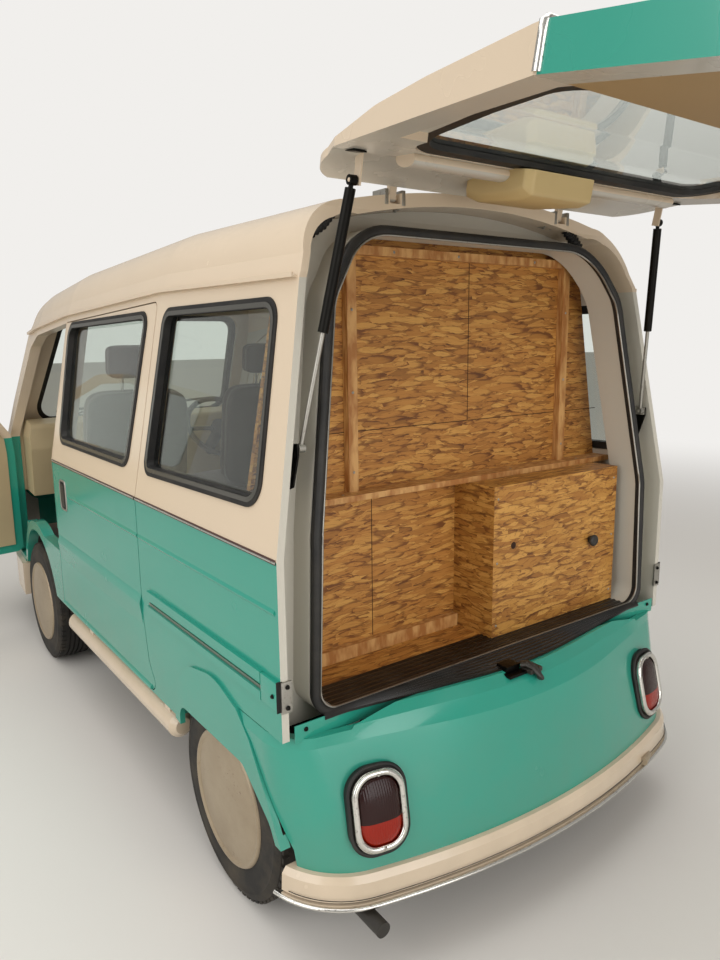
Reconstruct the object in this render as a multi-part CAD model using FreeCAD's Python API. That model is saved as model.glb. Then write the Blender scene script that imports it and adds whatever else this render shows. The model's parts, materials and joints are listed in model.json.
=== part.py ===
# Retro kei van with a raised tailgate: one node for each piece, in millimetres.
# +X is forward, +Y is left, +Z is up. The origin is on the ground, on the centre plane,
# midway between the axles. Doors and tailgate are drawn closed and then turned open.
import FreeCAD
import Part
import math
import os

V = FreeCAD.Vector
os.makedirs("parts", exist_ok=True)

# Running gear
WHEELBASE = 1885.0
TRACK = 1220.0
TYRE_R = 268.0
TYRE_W = 145.0
RIM_R = 160.0
CAP_FACE = 692.0
KINGPIN_Y = 500.0
HUB_R = 42.0
HUB_END = 630.0
HUB_PIN_R = 15.0
HUB_PIN_END = 660.0
RUNNING = 0.08
STRUT_LEG_R = 24.0
FRONT_X = WHEELBASE / 2
REAR_X = -WHEELBASE / 2
WHEEL_Y = TRACK / 2
AXLE_Z = TYRE_R

# Body walls and heights
HALF_W = 697.5
BELT_Z = 980.0
SIDE_LEAN = 0.1907
GUTTER_Z = 1570.0
CROWN_Y = 430.0
CROWN_EDGE_Z = 1743.0
CROWN_Z = 1787.0
WALL = 45.0
ROOF_WALL = 30.0
SKIRT_Z = 380.0
BODY_LOW = 300.0
GAP = 6.0
SEAM = 4.0
FIT = 0.3

# Lengthwise stations of the side
REAR_EDGE = -1265.0
REAR_SHOULDER = -1205.0
REAR_TOP = (-1158.0, 1715.0)
ROOF_END = -1162.0
SLIDE_REAR = -432.0
SLIDE_FRONT = 505.0
DOOR_FRONT = 1452.0
DOOR_BACK = 511.0
NOSE_START = 1505.0
COWL_X = 1560.0
HEADER_X = 1090.0
HEADER_Z = 1650.0
NOSE_X = 1905.0

# Tailgate, its hinge line and its gas struts, all drawn closed
GATE_HINGE_X = -1140.0
GATE_HINGE_Z = 1750.0
GATE_CLEAR_R = 38.0
GATE_OPEN = 79.0
GATE_SKIN = 26.0
GATE_BOTTOM = 612.0
HINGE_Y = 294.0
HINGE_PIN_R = 5.4
HINGE_BORE_R = 5.5
HINGE_EYE_R = 9.0
STRUT_LOW = V(-1227.0, 608.0, 1204.0)
STRUT_HIGH = V(-1307.0, 522.0, 1737.0)
STRUT_TUBE_R = 11.0
STRUT_ROD_R = 5.0
STRUT_TUBE_L = 285.0
STRUT_ROD_TOP = 205.0
STRUT_PLATE = 4.0
EYE_R = 10.0
EYE_HALF = 8.0
STUD_R = 4.0

# The frame round the rear opening stands in a channel behind the side skins
CHANNEL = 92.0
CHANNEL_SHEET = 20.0
LIP = 14.0
SEAL_PROUD = 25.0
EDGE_SKIN = 18.0

# Front doors
DOOR_OPEN = 78.0
DOOR_HINGE_X = 1450.0
DOOR_HINGE_Y = 662.0
HINGE_LEVELS = (500.0, 820.0)
DOOR_EYE_R = 8.0
DOOR_PIN_R = 4.9
PILLAR = 34.0
ARCH_R = 332.0
ARCH_BAND = 40.0

# Front and rear mouldings
MOULD_SIDE = 703.0
MOULD_WALL = 14.0
MOULD_SEAM_Z = 566.0
MOULD_FRONT = -1050.0
FLARE_OUT = 7.0
BUMPER_LOW = 192.0
BUMPER_TOP = 262.0
LAMP_X = -1353.0
LAMP_Y = 511.0
LAMP_Z = 389.0
LAMP_LEAN = 12.5
LAMP_YAW = 11.0
LAMP_W = 132.0
LAMP_H = 182.0
LAMP_RIM = 15.0
HEADLAMP_Y = 455.0
HEADLAMP_Z = 690.0
HEADLAMP_R = 92.0
LAMP_FACE_X = 1880.0
TUBE_R = 40.0
TUBE_Z = 320.0
TUBE_Y = 665.0
TUBE_REAR = -624.0
TUBE_FRONT = 452.0

# Load bed and cabin
DECK_Z = 590.0
DECK_X = -600.0
FLOOR_Z = 430.0
SHEET = 15.0
BOARD = 15.0
WHEELHOUSE_IN = 365.0
WALL_X = -1040.0
RAIL_TOP = 1050.0
RAIL_DEEP = 60.0
BATTEN_DEEP = 22.0
BATTEN_TOP = 1652.0
CABINET_X = -1195.0
CABINET_SIDES = (-555.0, -15.0)
RAIL_Z = 545.0
RAIL_HALF = 25.0
REAR_RAIL_Y = 370.0
FRONT_RAIL_Y = 300.0
TOW_HOLE_R = 15.0
TOW_PLATE = 12.0
TOW_FRONT = (1727.0, 178.0)
TOW_REAR = (-1300.0, 170.0)
JACK_X = (-480.0, 540.0)
JACK_Y = 590.0
JACK_Z = 340.0
REAR_HOUSE_R = 302.0
EXHAUST_X = -1302.0
SEAT_Y = 315.0
SEAT_X = 660.0
SEAT_Z = 640.0
WHEEL_HUB = V(1085.0, -315.0, 985.0)
WHEEL_TILT = 40.0


def box(x0, x1, y0, y1, z0, z1):
    return Part.makeBox(x1 - x0, y1 - y0, z1 - z0, V(x0, y0, z0))


def rod(start, end, radius):
    run = V(*end) - V(*start)
    return Part.makeCylinder(radius, run.Length, V(*start), run)


def disc(x, z, radius, y0, y1):
    return Part.makeCylinder(radius, y1 - y0, V(x, y0, z), V(0, 1, 0))


def mirrored(shape):
    return shape.mirror(V(0, 0, 0), V(0, 1, 0))


def pair(shape):
    return Part.makeCompound([shape, mirrored(shape)])


def fused(*shapes):
    return shapes[0].fuse(list(shapes[1:])).removeSplitter()


# A closed loop through corners (u, v) or (u, v, radius), rounded where a radius is given
def loop(corners, place):
    starts = []
    ends = []
    arcs = []
    for index, corner in enumerate(corners):
        point = V(corner[0], corner[1], 0)
        before = corners[index - 1]
        after = corners[(index + 1) % len(corners)]
        back = (V(before[0], before[1], 0) - point).normalize()
        ahead = (V(after[0], after[1], 0) - point).normalize()
        radius = corner[2] if len(corner) > 2 else 0
        half = back.getAngle(ahead) / 2
        reach = radius / math.tan(half)
        starts.append(point + back * reach)
        ends.append(point + ahead * reach)
        middle = point
        if radius:
            middle = point + (back + ahead).normalize() * (radius / math.sin(half) - radius)
        arcs.append(middle)
    edges = []
    for index in range(len(corners)):
        following = (index + 1) % len(corners)
        if starts[index].distanceToPoint(ends[index]) > 0.01:
            bend = [place(p.x, p.y) for p in (starts[index], arcs[index], ends[index])]
            edges.append(Part.Arc(*bend).toShape())
        leave = place(ends[index].x, ends[index].y)
        arrive = place(starts[following].x, starts[following].y)
        if leave.distanceToPoint(arrive) > 0.01:
            edges.append(Part.LineSegment(leave, arrive).toShape())
    return Part.Wire(edges)


def face_of(corners, place, offset):
    face = Part.Face(loop(corners, place))
    return face.makeOffset2D(offset) if offset else face


def plate_xz(corners, y0, y1, offset=0):
    return face_of(corners, lambda u, v: V(u, y0, v), offset).extrude(V(0, y1 - y0, 0))


def plate_yz(corners, x0, x1, offset=0):
    return face_of(corners, lambda u, v: V(x0, u, v), offset).extrude(V(x1 - x0, 0, 0))


def plate_xy(corners, z0, z1, offset=0):
    return face_of(corners, lambda u, v: V(u, v, z0), offset).extrude(V(0, 0, z1 - z0))


# Body sections, rear to front: station, side taken in, roof drop
SECTIONS = (
    (-1420.0, 0.0, 14.0),
    (-455.0, 0.0, 0.0),
    (508.0, 0.0, 36.0),
    (1000.0, 9.0, 76.0),
    (1450.0, 38.0, 128.0),
    (1990.0, 95.0, 210.0),
)


def section(x, taken, drop, inset, roof_inset):
    side = HALF_W - taken - inset
    gutter_z = GUTTER_Z - drop
    gutter_y = side - SIDE_LEAN * (gutter_z - BELT_Z)
    turn_y = gutter_y - 20
    turn_z = gutter_z + 50
    crown_y = CROWN_Y - taken - inset * 0.6
    edge_z = CROWN_EDGE_Z - drop - roof_inset
    top_z = CROWN_Z - drop - roof_inset
    bend_y = (turn_y + crown_y) / 2 + 26
    bend_z = (turn_z + edge_z) / 2 + 22
    right = [V(x, -crown_y, edge_z), V(x, -bend_y, bend_z), V(x, -turn_y, turn_z)]
    left = [V(x, turn_y, turn_z), V(x, bend_y, bend_z), V(x, crown_y, edge_z)]
    corners = [right[2], V(x, -gutter_y, gutter_z), V(x, -side, BELT_Z), V(x, -side, BODY_LOW)]
    corners += [V(x, side, BODY_LOW), V(x, side, BELT_Z), V(x, gutter_y, gutter_z), left[0]]
    edges = [Part.Arc(*right).toShape()]
    edges += [Part.LineSegment(a, b).toShape() for a, b in zip(corners, corners[1:])]
    edges.append(Part.Arc(*left).toShape())
    edges.append(Part.Arc(left[2], V(x, 0, top_z), right[0]).toShape())
    return Part.Wire(edges)


def envelope(inset, roof_inset):
    wires = [section(x, taken, drop, inset, roof_inset) for x, taken, drop in SECTIONS]
    return Part.makeLoft(wires, True, True)


# The rear edge line of the body, moved forward by a distance
def rear_line(forward):
    return [
        (REAR_EDGE + forward, BODY_LOW - 60),
        (REAR_EDGE + forward, BELT_Z),
        (REAR_SHOULDER + forward, GUTTER_Z),
        (REAR_TOP[0] + forward, REAR_TOP[1]),
        (ROOF_END + forward, CROWN_Z + 20),
    ]


def front_line(inset):
    return [
        (HEADER_X - inset, CROWN_Z + 20),
        (HEADER_X - inset, HEADER_Z - inset / 2, 40),
        (COWL_X - inset, BELT_Z + 10, 60),
        (NOSE_X - 70 - inset, BELT_Z - 100, 90),
        (NOSE_X - inset, BELT_Z - 340, 200),
        (NOSE_X - 20 - inset, BODY_LOW - 60),
    ]


def nose_plan(inset):
    front = NOSE_X + 20 - inset
    side = HALF_W + 20 - inset
    return [
        (-1500, side),
        (front - 160, side, 190),
        (front - 30, HALF_W * 0.6, 400),
        (front, 0, 2000),
        (front - 30, -HALF_W * 0.6, 400),
        (front - 160, -side, 190),
        (-1500, -side),
    ]


def body_solid(inset, roof_inset, rear):
    solid = envelope(inset, roof_inset).common(plate_xz(rear + front_line(inset), -800, 800))
    return solid.common(plate_xy(nose_plan(inset), 0, 2000))


OPEN_REAR = [(-1450.0, BODY_LOW - 60), (-1450.0, CROWN_Z + 20)]


def layer(shallow, deep):
    return body_solid(shallow, shallow, OPEN_REAR).cut(body_solid(deep, deep, OPEN_REAR))


OUTER = body_solid(0, 0, rear_line(0))
INNER = body_solid(WALL, ROOF_WALL, OPEN_REAR)
SHELL = OUTER.cut(INNER)
GLASS_LAYER = layer(16, 21)
SEAL_LAYER = layer(-4, 32)
TRIM_LAYER = layer(WALL + FIT, WALL + 8)
REAR_CHANNEL = plate_xz(rear_line(-20) + rear_line(CHANNEL + CHANNEL_SHEET)[::-1], -800, 800)
LOWER = plate_xz(
    [(-1500, BODY_LOW - 90)]
    + [(x, GUTTER_Z - drop - 2) for x, taken, drop in SECTIONS]
    + [(1990, BODY_LOW - 90)], -800, 800)

# Openings in the side, seen from the left, as (x, z, corner radius)
SLIDE_TOP = 1546.0
SLIDE_HOLE = [
    (SLIDE_FRONT, SKIRT_Z + 6),
    (SLIDE_REAR - 105, SKIRT_Z + 6, 30),
    (SLIDE_REAR - 30, SKIRT_Z + 90, 80),
    (SLIDE_REAR, SKIRT_Z + 260),
    (SLIDE_REAR, SLIDE_TOP, 25),
    (SLIDE_FRONT, SLIDE_TOP - 36),
]
SLIDE_WINDOW = [(425, 1052, 70), (-345, 1052, 50), (-372, 1522, 50), (470, 1508, 60)]
QUARTER_WINDOW = [(-478, 1054, 45), (-1172, 1068, 60), (-1136, 1524, 60), (-488, 1524, 50)]
DOOR_HOLE = [
    (DOOR_BACK, 606),
    (DOOR_BACK, 1506),
    (985, 1466, 60),
    (1125, 1412, 80),
    (DOOR_FRONT - 8, 990, 60),
    (DOOR_FRONT, 900, 60),
    (DOOR_FRONT, 395, 40),
    (1150, 395),
    (1150, 606),
]
DOOR_WINDOW = [(575, 1065, 45), (560, 1450, 45), (960, 1420, 60), (1085, 1370, 60), (1330, 1065, 40)]
SCREEN_HOLE = [(-545, 1035, 90), (545, 1035, 90), (455, 1560, 90), (-455, 1560, 90)]
REAR_HOLE = [(-600, 604, 50), (600, 604, 50), (585, 1000, 300), (502, 1520, 120), (405, 1668, 160),
             (-405, 1668, 160), (-502, 1520, 120), (-585, 1000, 300)]
GATE_WINDOW = [(-560, 1030, 80), (560, 1030, 80), (480, 1490, 90), (-480, 1490, 90)]
WINDOW_SEAL = 24.0


def door_cut(offset):
    lifted = ARCH_R + ARCH_BAND - offset
    return plate_xz(DOOR_HOLE, 440, 780, offset).cut(disc(FRONT_X, AXLE_Z, lifted, 430, 790))


# The rear arch is cut flat across its top and slopes down behind the wheel
def rear_arch(y0, y1):
    corners = [
        (REAR_X + 242, BODY_LOW - 70),
        (REAR_X + 242, 436, 40),
        (REAR_X - 136, 436, 40),
        (REAR_X - 262, 345, 60),
        (REAR_X - 330, BODY_LOW - 70),
    ]
    return plate_xz(corners, y0, y1)


def rear_flare():
    corners = [
        (REAR_X + 276, SKIRT_Z),
        (REAR_X + 248, 505, 60),
        (REAR_X + 165, 576, 80),
        (REAR_X + 10, 606, 200),
        (REAR_X - 122, 564, 80),
        (REAR_X - 179, 514),
        (REAR_X - 256, 401),
        (REAR_X - 314, 305),
        (REAR_X - 150, 305),
    ]
    return plate_xz(corners, HALF_W - 12, HALF_W + FLARE_OUT)


# The seam between the side and the moulded rear panel below MOULD_SEAM_Z, as (x, z)
MOULD_SEAM = [(REAR_X - 119, MOULD_SEAM_Z), (REAR_X - 179, 514), (REAR_X - 256, 401),
              (REAR_X - 318, 300), (REAR_X - 330, BODY_LOW - 70)]


# All that lies behind and under the seam, or a line ahead of and above it
def behind_seam(shift):
    line = [(x + shift, z) for x, z in MOULD_SEAM]
    top = MOULD_SEAM_Z + shift
    corner = (line[0][0] + shift, top)
    return plate_xz([(-1500, top), corner] + line[1:] + [(-1500, BODY_LOW - 70)], -800, 800)


# Moulded rear panel, from below: height, corner and middle of its plan, half width,
# corner radius, crown radius
MOULD_SECTIONS = (
    (BUMPER_TOP, -1338.0, -1522.0, 690.0, 200.0, 2000.0),
    (540.0, -1262.0, -1450.0, 702.0, 110.0, 1190.0),
    (574.0, -1270.0, -1398.0, 694.0, 105.0, 1190.0),
    (594.0, -1262.0, -1362.0, 668.0, 100.0, 1190.0),
)
MOULD_TOP = MOULD_SECTIONS[-1][0]


def mould_plan(corner_x, middle_x, side, radius, crown):
    return [(MOULD_FRONT, side), (corner_x, side, radius), (middle_x, 0, crown),
            (corner_x, -side, radius), (MOULD_FRONT, -side)]


# The panel wraps both corners below the tailgate, crowned across and leaning forward
def mould_block(inset):
    wires = []
    for z, corner_x, middle_x, side, radius, crown in MOULD_SECTIONS:
        level = z - inset * (z - BUMPER_TOP) / (MOULD_TOP - BUMPER_TOP)
        plan = mould_plan(corner_x + inset, middle_x + inset, side - inset, radius - inset, crown)
        wires.append(loop(plan, lambda u, v: V(u, v, level)))
    return Part.makeLoft(wires, True, True)


def side_panel():
    region = box(-1300, SLIDE_FRONT, 400, 800, SKIRT_Z, 1700)
    region = region.fuse(box(SLIDE_FRONT - 1, FRONT_X + ARCH_R + ARCH_BAND, 400, 800, SKIRT_Z, 660))
    region = region.fuse(box(-1300, REAR_X - 150, 400, 800, 305, SKIRT_Z + 1))
    side = SHELL.common(region).common(LOWER)
    side = side.cut(plate_xz(SLIDE_HOLE, 400, 800)).cut(door_cut(0))
    side = side.cut(box(FRONT_X, FRONT_X + 400, 400, 800, 640, 700))
    side = side.cut(plate_xz(QUARTER_WINDOW, 400, 800))
    side = side.fuse(rear_flare())
    side = side.cut(rear_arch(400, 800)).cut(disc(FRONT_X, AXLE_Z, ARCH_R, 400, 800))
    side = side.cut(disc(REAR_X, AXLE_Z, REAR_HOUSE_R, 400, HALF_W - 8))
    side = side.cut(REAR_CHANNEL.common(body_solid(EDGE_SKIN, EDGE_SKIN, OPEN_REAR)))
    side = side.cut(behind_seam(SEAM))
    top_end = box(SLIDE_FRONT - 3, SLIDE_FRONT + 500, 400, 800, 1300, 1700)
    side = side.cut(top_end).fuse(slide_rail())
    return max(side.Solids, key=lambda s: s.Volume)


def windscreen_cut(offset):
    return plate_yz(SCREEN_HOLE, 1050, 1650, offset)


def drip_gutter():
    wires = []
    for x, taken, drop in ((-1198.0, 0.0, 10.0),) + SECTIONS[1:4] + ((1180.0, 20.6, 96.8),):
        z = GUTTER_Z - drop
        y = HALF_W - taken - SIDE_LEAN * (z - BELT_Z)
        corners = [V(x, y - 8, z - 2), V(x, y + 14, z - 2), V(x, y + 14, z + 8), V(x, y + 10, z + 8),
                   V(x, y + 10, z + 2), V(x, y - 8, z + 2)]
        wires.append(Part.makePolygon(corners + corners[:1]))
    return Part.makeLoft(wires, True, True)


def roof():
    top = SHELL.cut(LOWER).cut(windscreen_cut(0))
    gutter = drip_gutter()
    top = top.cut(REAR_CHANNEL.common(body_solid(EDGE_SKIN, ROOF_WALL + 12, OPEN_REAR)))
    top = top.fuse([gutter, mirrored(gutter)])
    for side in (1, -1):
        y = side * HINGE_Y
        pocket = box(ROOF_END - 10, GATE_HINGE_X + 15, y - 15, y + 15, GATE_HINGE_Z - 15, CROWN_Z + 20)
        top = top.cut(pocket)
        top = top.fuse(hinge_line(y - 17, y + 17, HINGE_PIN_R))
    top = top.removeSplitter()
    return max(top.Solids, key=lambda s: s.Volume)


def front_frame():
    region = box(SLIDE_FRONT, NOSE_START, -800, 800, 396, BELT_Z).fuse(
        box(SLIDE_FRONT, 1700, -800, 800, BELT_Z - 1, 1700))
    frame = SHELL.common(region).common(LOWER).cut(windscreen_cut(0))
    frame = frame.cut(door_cut(0)).cut(mirrored(door_cut(0)))
    keep_out = box(SLIDE_FRONT - 1, DOOR_FRONT, -800, 800, 300, 700)
    pillars = INNER.cut(body_solid(WALL + PILLAR, ROOF_WALL + PILLAR, OPEN_REAR)).common(
        box(SLIDE_FRONT - 28, DOOR_BACK + 34, -800, 800, FLOOR_Z, GUTTER_Z - 50))
    fixed, moving, fixed_room, moving_room = door_hinges()
    frame = frame.cut(keep_out).fuse(pillars).cut(moving_room).cut(mirrored(moving_room))
    return frame.fuse([fixed, mirrored(fixed)]).removeSplitter()


# Outside hinges of the front doors: parts on the frame, parts on the door, and the room
# that each needs in the other
def door_hinges():
    def post(radius, low, high):
        return Part.makeCylinder(radius, high - low, V(DOOR_HINGE_X, DOOR_HINGE_Y, low))
    fixed = []
    moving = []
    fixed_room = []
    moving_room = []
    for z in HINGE_LEVELS:
        for low, high in ((z, z + 18), (z + 42, z + 60)):
            leaf = box(DOOR_HINGE_X, DOOR_HINGE_X + 40, DOOR_HINGE_Y - 12, DOOR_HINGE_Y + 5, low, high)
            fixed += [post(DOOR_EYE_R, low, high), leaf]
            fixed_room.append(post(DOOR_EYE_R + GAP, low - 1, high + 0.5 if low == z else high + 1))
        fixed_room[-1] = post(DOOR_EYE_R + GAP, z + 41.5, z + 61)
        fixed.append(post(DOOR_PIN_R, z, z + 60))
        leaf = box(DOOR_HINGE_X - 40, DOOR_HINGE_X, DOOR_HINGE_Y - 12, DOOR_HINGE_Y + 5, z + 18.5, z + 41.5)
        moving += [post(DOOR_EYE_R, z + 18.5, z + 41.5), leaf]
        fixed_room.append(post(DOOR_PIN_R + RUNNING, z - 1, z + 61))
        moving_room.append(post(DOOR_EYE_R + GAP, z + 18, z + 42))
    return [Part.makeCompound(group) if group is moving_room or group is fixed_room else fused(*group)
            for group in (fixed, moving, fixed_room, moving_room)]


def nose_panel():
    nose = SHELL.common(box(NOSE_START, 2000, -800, 800, BODY_LOW, BELT_Z - 1))
    skirt = SHELL.common(box(FRONT_X + ARCH_R + ARCH_BAND + 4, NOSE_START + 1, -800, 800, BODY_LOW, 390))
    nose = nose.fuse(skirt).cut(front_bumper_block(-FIT))
    root = LAMP_FACE_X - 130
    nose = nose.fuse([lamp_bore(side, HEADLAMP_R + 14, root, LAMP_FACE_X) for side in (1, -1)])
    for side in (1, -1):
        bore = lamp_bore(side, HEADLAMP_R - 4, root + 20, LAMP_FACE_X + 110)
        nose = nose.cut(bore.fuse(lamp_bore(side, HEADLAMP_R + 10 + FIT, LAMP_FACE_X + 0.1, LAMP_FACE_X + 110)))
    return nose.removeSplitter()


def lamp_bore(side, radius, x0, x1):
    return rod((x0, side * HEADLAMP_Y, HEADLAMP_Z), (x1, side * HEADLAMP_Y, HEADLAMP_Z), radius)


BUMPER_PLAN = [(1200, 698), (1500, 676, 400), (NOSE_X + 45, 590, 240), (NOSE_X + 45, -590, 240),
               (1500, -676, 400), (1200, -698)]
FRONT_BUMPER_Z = 205.0
FRONT_BUMPER_H = 160.0


def front_bumper_block(inset):
    high = FRONT_BUMPER_Z + FRONT_BUMPER_H
    bar = plate_xy(BUMPER_PLAN, FRONT_BUMPER_Z, high).cut(plate_xy(BUMPER_PLAN, 0, 500, inset - 38))
    return bar.common(box(FRONT_X + ARCH_R + 8, 2000, -760, 760, 0, 500))


def rear_frame():
    sheet = plate_xz(rear_line(CHANNEL)[1:] + rear_line(CHANNEL + CHANNEL_SHEET)[::-1][:-1]
                     + [(REAR_EDGE + CHANNEL + CHANNEL_SHEET, 548), (REAR_EDGE + CHANNEL, 548)], -800, 800)
    sheet = sheet.common(body_solid(WALL + FIT, ROOF_WALL + FIT, OPEN_REAR))
    lip = plate_yz(REAR_HOLE, -1400, -1000, LIP).common(
        plate_xz(rear_line(SEAL_PROUD) + rear_line(CHANNEL)[::-1], -800, 800))
    frame = sheet.fuse(lip).cut(plate_yz(REAR_HOLE, -1400, -1000))
    root = rear_x(STRUT_LOW.z) + CHANNEL + 2
    low = STRUT_LOW.z - 12
    high = STRUT_LOW.z + 9
    for side in (1, -1):
        foot = box(root - 32, root - 21, *sorted((side * 594, side * 622)), low, high)
        heel = box(root - 22, root, *sorted((side * 594, side * 617)), low, high)
        frame = frame.fuse([strut_bracket(STRUT_LOW, side, 1, root - 31), foot, heel])
    return frame.removeSplitter()


# A plate beside a strut's eye, with a stud through it; way is 1 for a plate outside the eye
def strut_bracket(place, side, way, root_x):
    near = place.y + way * (EYE_HALF + 2)
    far = near + way * STRUT_PLATE
    start_x = place.x - 9 if root_x > place.x else place.x + 9
    x0, x1 = sorted((start_x, root_x))
    plate = box(x0, x1, *sorted((side * near, side * far)), place.z - 12, place.z + 9)
    stud = disc(place.x, place.z, STUD_R, *sorted((side * far, side * (place.y - way * EYE_HALF))))
    return plate.fuse(stud)


# The eye's bore is wide enough for the strut's lean to change as the gate swings
def strut_eye(centre):
    ring = disc(centre.x, centre.z, EYE_R, centre.y - EYE_HALF, centre.y + EYE_HALF)
    return ring, disc(centre.x, centre.z, STUD_R + 1, centre.y - 30, centre.y + 30)


def rear_seal():
    band = plate_xz(rear_line(0) + rear_line(SEAL_PROUD)[::-1], -800, 800)
    ring = plate_yz(REAR_HOLE, -1400, -1000, LIP + 2).cut(plate_yz(REAR_HOLE, -1400, -1000, -3))
    return ring.common(band)


def hinge_line(y0, y1, radius):
    return disc(GATE_HINGE_X, GATE_HINGE_Z, radius, y0, y1)


# The gate opens by turning about its hinge line, its lower edge going back and up
def gate_turned(shape, angle):
    turned = shape.copy()
    turned.rotate(V(GATE_HINGE_X, 0, GATE_HINGE_Z), V(0, 1, 0), angle)
    return turned


# The gate's outer skin from its top edge down: x, z, radius
GATE_RIM = (
    (-1186.0, CROWN_Z + 20),
    (-1188.0, 1700.0, 80.0),
    (-1226.0, 1565.0, 150.0),
    (-1270.0, 1400.0, 250.0),
    (-1296.0, 1240.0, 300.0),
    (-1329.0, BELT_Z, 300.0),
    (-1329.0, GATE_BOTTOM, 24.0),
)


def gate_rim(shift):
    return [(point[0] + shift,) + tuple(point[1:]) for point in GATE_RIM]


# A sheet that follows the gate's outer skin between two depths
def gate_layer(near, far):
    foot = GATE_RIM[-1][:2]
    near_line = gate_rim(near)[:-1] + [(foot[0] + near, foot[1])]
    far_line = gate_rim(far)[:-1] + [(foot[0] + far, foot[1])]
    return plate_xz(near_line + far_line[::-1], -800, 800)


def gate_outline():
    return [(REAR_EDGE - GAP, GATE_BOTTOM)] + rear_line(-GAP)[1:] + gate_rim(0)


def tailgate():
    gate = envelope(0, 0).common(plate_xz(gate_outline(), -800, 800))
    skin = gate_rim(GATE_SKIN)
    pocket = plate_xz([(skin[-1][0], GATE_BOTTOM + 38, 12), (skin[-2][0], BELT_Z), skin[4][:2], skin[3][:2],
                       (REAR_SHOULDER + 30, skin[3][1]), (REAR_EDGE + 30, GATE_BOTTOM + 38)], -800, 800)
    gate = gate.cut(pocket.common(envelope(60, 60)))
    gate = gate.cut(plate_yz(GATE_WINDOW, -1500, -1100))
    gate = gate.cut(hinge_line(-800, 800, GATE_CLEAR_R))
    parts = []
    for side in (1, -1):
        y = side * HINGE_Y
        arm = box(GATE_HINGE_X - 43, GATE_HINGE_X, y - 10, y + 10, GATE_HINGE_Z - 9, GATE_HINGE_Z + 3)
        parts.append(arm.fuse(hinge_line(y - 10, y + 10, HINGE_EYE_R)).cut(
            hinge_line(y - 11, y + 11, HINGE_BORE_R)))
        parts.append(strut_bracket(STRUT_HIGH_SHUT, side, -1, rear_x(STRUT_HIGH_SHUT.z) - GAP - 8))
    return gate.fuse(parts).removeSplitter()


def rear_x(z):
    line = rear_line(0)
    for (x0, z0), (x1, z1) in zip(line, line[1:]):
        if z0 <= z <= z1:
            return x0 + (x1 - x0) * (z - z0) / (z1 - z0)
    return line[-1][0]


def gate_glass():
    return gate_layer(10, 15).common(plate_yz(GATE_WINDOW, -1500, -1100, -WINDOW_SEAL + 6))


def gate_seal():
    ring = plate_yz(GATE_WINDOW, -1500, -1100, -FIT).cut(plate_yz(GATE_WINDOW, -1500, -1100, -WINDOW_SEAL))
    return gate_layer(-3, GATE_SKIN).common(ring).cut(gate_glass())


def gate_lining():
    x = REAR_EDGE - GAP
    lining = box(x - 8, x - 0.5, -HALF_W + 61, HALF_W - 61, GATE_BOTTOM + 39, BELT_Z)
    for step in range(9):
        z = GATE_BOTTOM + 70 + step * 34
        lining = lining.fuse(box(x - 12, x - 7, -HALF_W + 90, HALF_W - 90, z, z + 16))
    return lining.removeSplitter()


def gate_cover():
    z = 1590
    x = rear_x(z) - GAP
    corners = [(x - 14, z - 62), (x + 34, z - 62, 14), (x + 40, z + 34, 14), (x + 8, z + 40)]
    return plate_xz(corners, -40, 170).cut(plate_xz(gate_outline(), -100, 200))


def strut_tube(side):
    high = V(STRUT_HIGH.x, side * STRUT_HIGH.y, STRUT_HIGH.z)
    low = V(STRUT_LOW.x, side * STRUT_LOW.y, STRUT_LOW.z)
    run = (high - low).normalize()
    ring, hole = strut_eye(high)
    body = rod(high - run * 16, high - run * (16 + STRUT_TUBE_L), STRUT_TUBE_R)
    bore = rod(high - run * 40, high - run * (40 + STRUT_TUBE_L), STRUT_ROD_R + FIT)
    neck = rod(high, high - run * 18, STRUT_ROD_R)
    return body.fuse([ring, neck]).cut(hole).cut(bore).removeSplitter()


def strut_rod(side):
    high = V(STRUT_HIGH.x, side * STRUT_HIGH.y, STRUT_HIGH.z)
    low = V(STRUT_LOW.x, side * STRUT_LOW.y, STRUT_LOW.z)
    run = (high - low).normalize()
    ring, hole = strut_eye(low)
    shaft = rod(low, high - run * STRUT_ROD_TOP, STRUT_ROD_R)
    return shaft.fuse(ring).cut(hole).removeSplitter()


def swung_door(shape, side):
    turned = shape.copy()
    turned.rotate(V(DOOR_HINGE_X, side * DOOR_HINGE_Y, 0), V(0, 0, 1), -side * DOOR_OPEN)
    return turned


def front_door():
    door = SHELL.common(LOWER).common(door_cut(-GAP)).common(box(400, 1600, 300, 800, 300, 1700))
    door = door.cut(plate_xz(DOOR_WINDOW, 400, 800))
    fixed, moving, fixed_room, moving_room = door_hinges()
    return door.fuse(moving).cut(fixed_room).removeSplitter()


def door_mirror():
    foot = rod((1345, 640, 1085), (1345, 742, 1105), 13)
    foot = foot.cut(OUTER)
    shell = plate_yz([(705, 1060, 35), (850, 1060, 45), (850, 1215, 55), (705, 1215, 40)], 1312, 1378)
    glass_seat = [(716, 1071, 28), (839, 1071, 36), (839, 1204, 46), (716, 1204, 32)]
    return foot.fuse(shell.cut(plate_yz(glass_seat, 1300, 1318))).removeSplitter()


def door_glass():
    return GLASS_LAYER.common(plate_xz(DOOR_WINDOW, 400, 800, -FIT))


def door_trim():
    lining = TRIM_LAYER.common(plate_xz(DOOR_HOLE, 400, 800, -46)).common(box(400, 1600, 300, 800, 440, 1030))
    return lining.cut(disc(FRONT_X, AXLE_Z, ARCH_R + ARCH_BAND + 40, 300, 900))


def sliding_door():
    door = SHELL.common(LOWER).common(plate_xz(SLIDE_HOLE, 400, 800, -SEAM))
    return door.cut(plate_xz(SLIDE_WINDOW, 400, 800))


def side_glass():
    panes = [GLASS_LAYER.common(plate_xz(hole, 400, 800, -WINDOW_SEAL + 6))
             for hole in (SLIDE_WINDOW, QUARTER_WINDOW)]
    return Part.makeCompound(panes + [mirrored(p) for p in panes])


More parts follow.
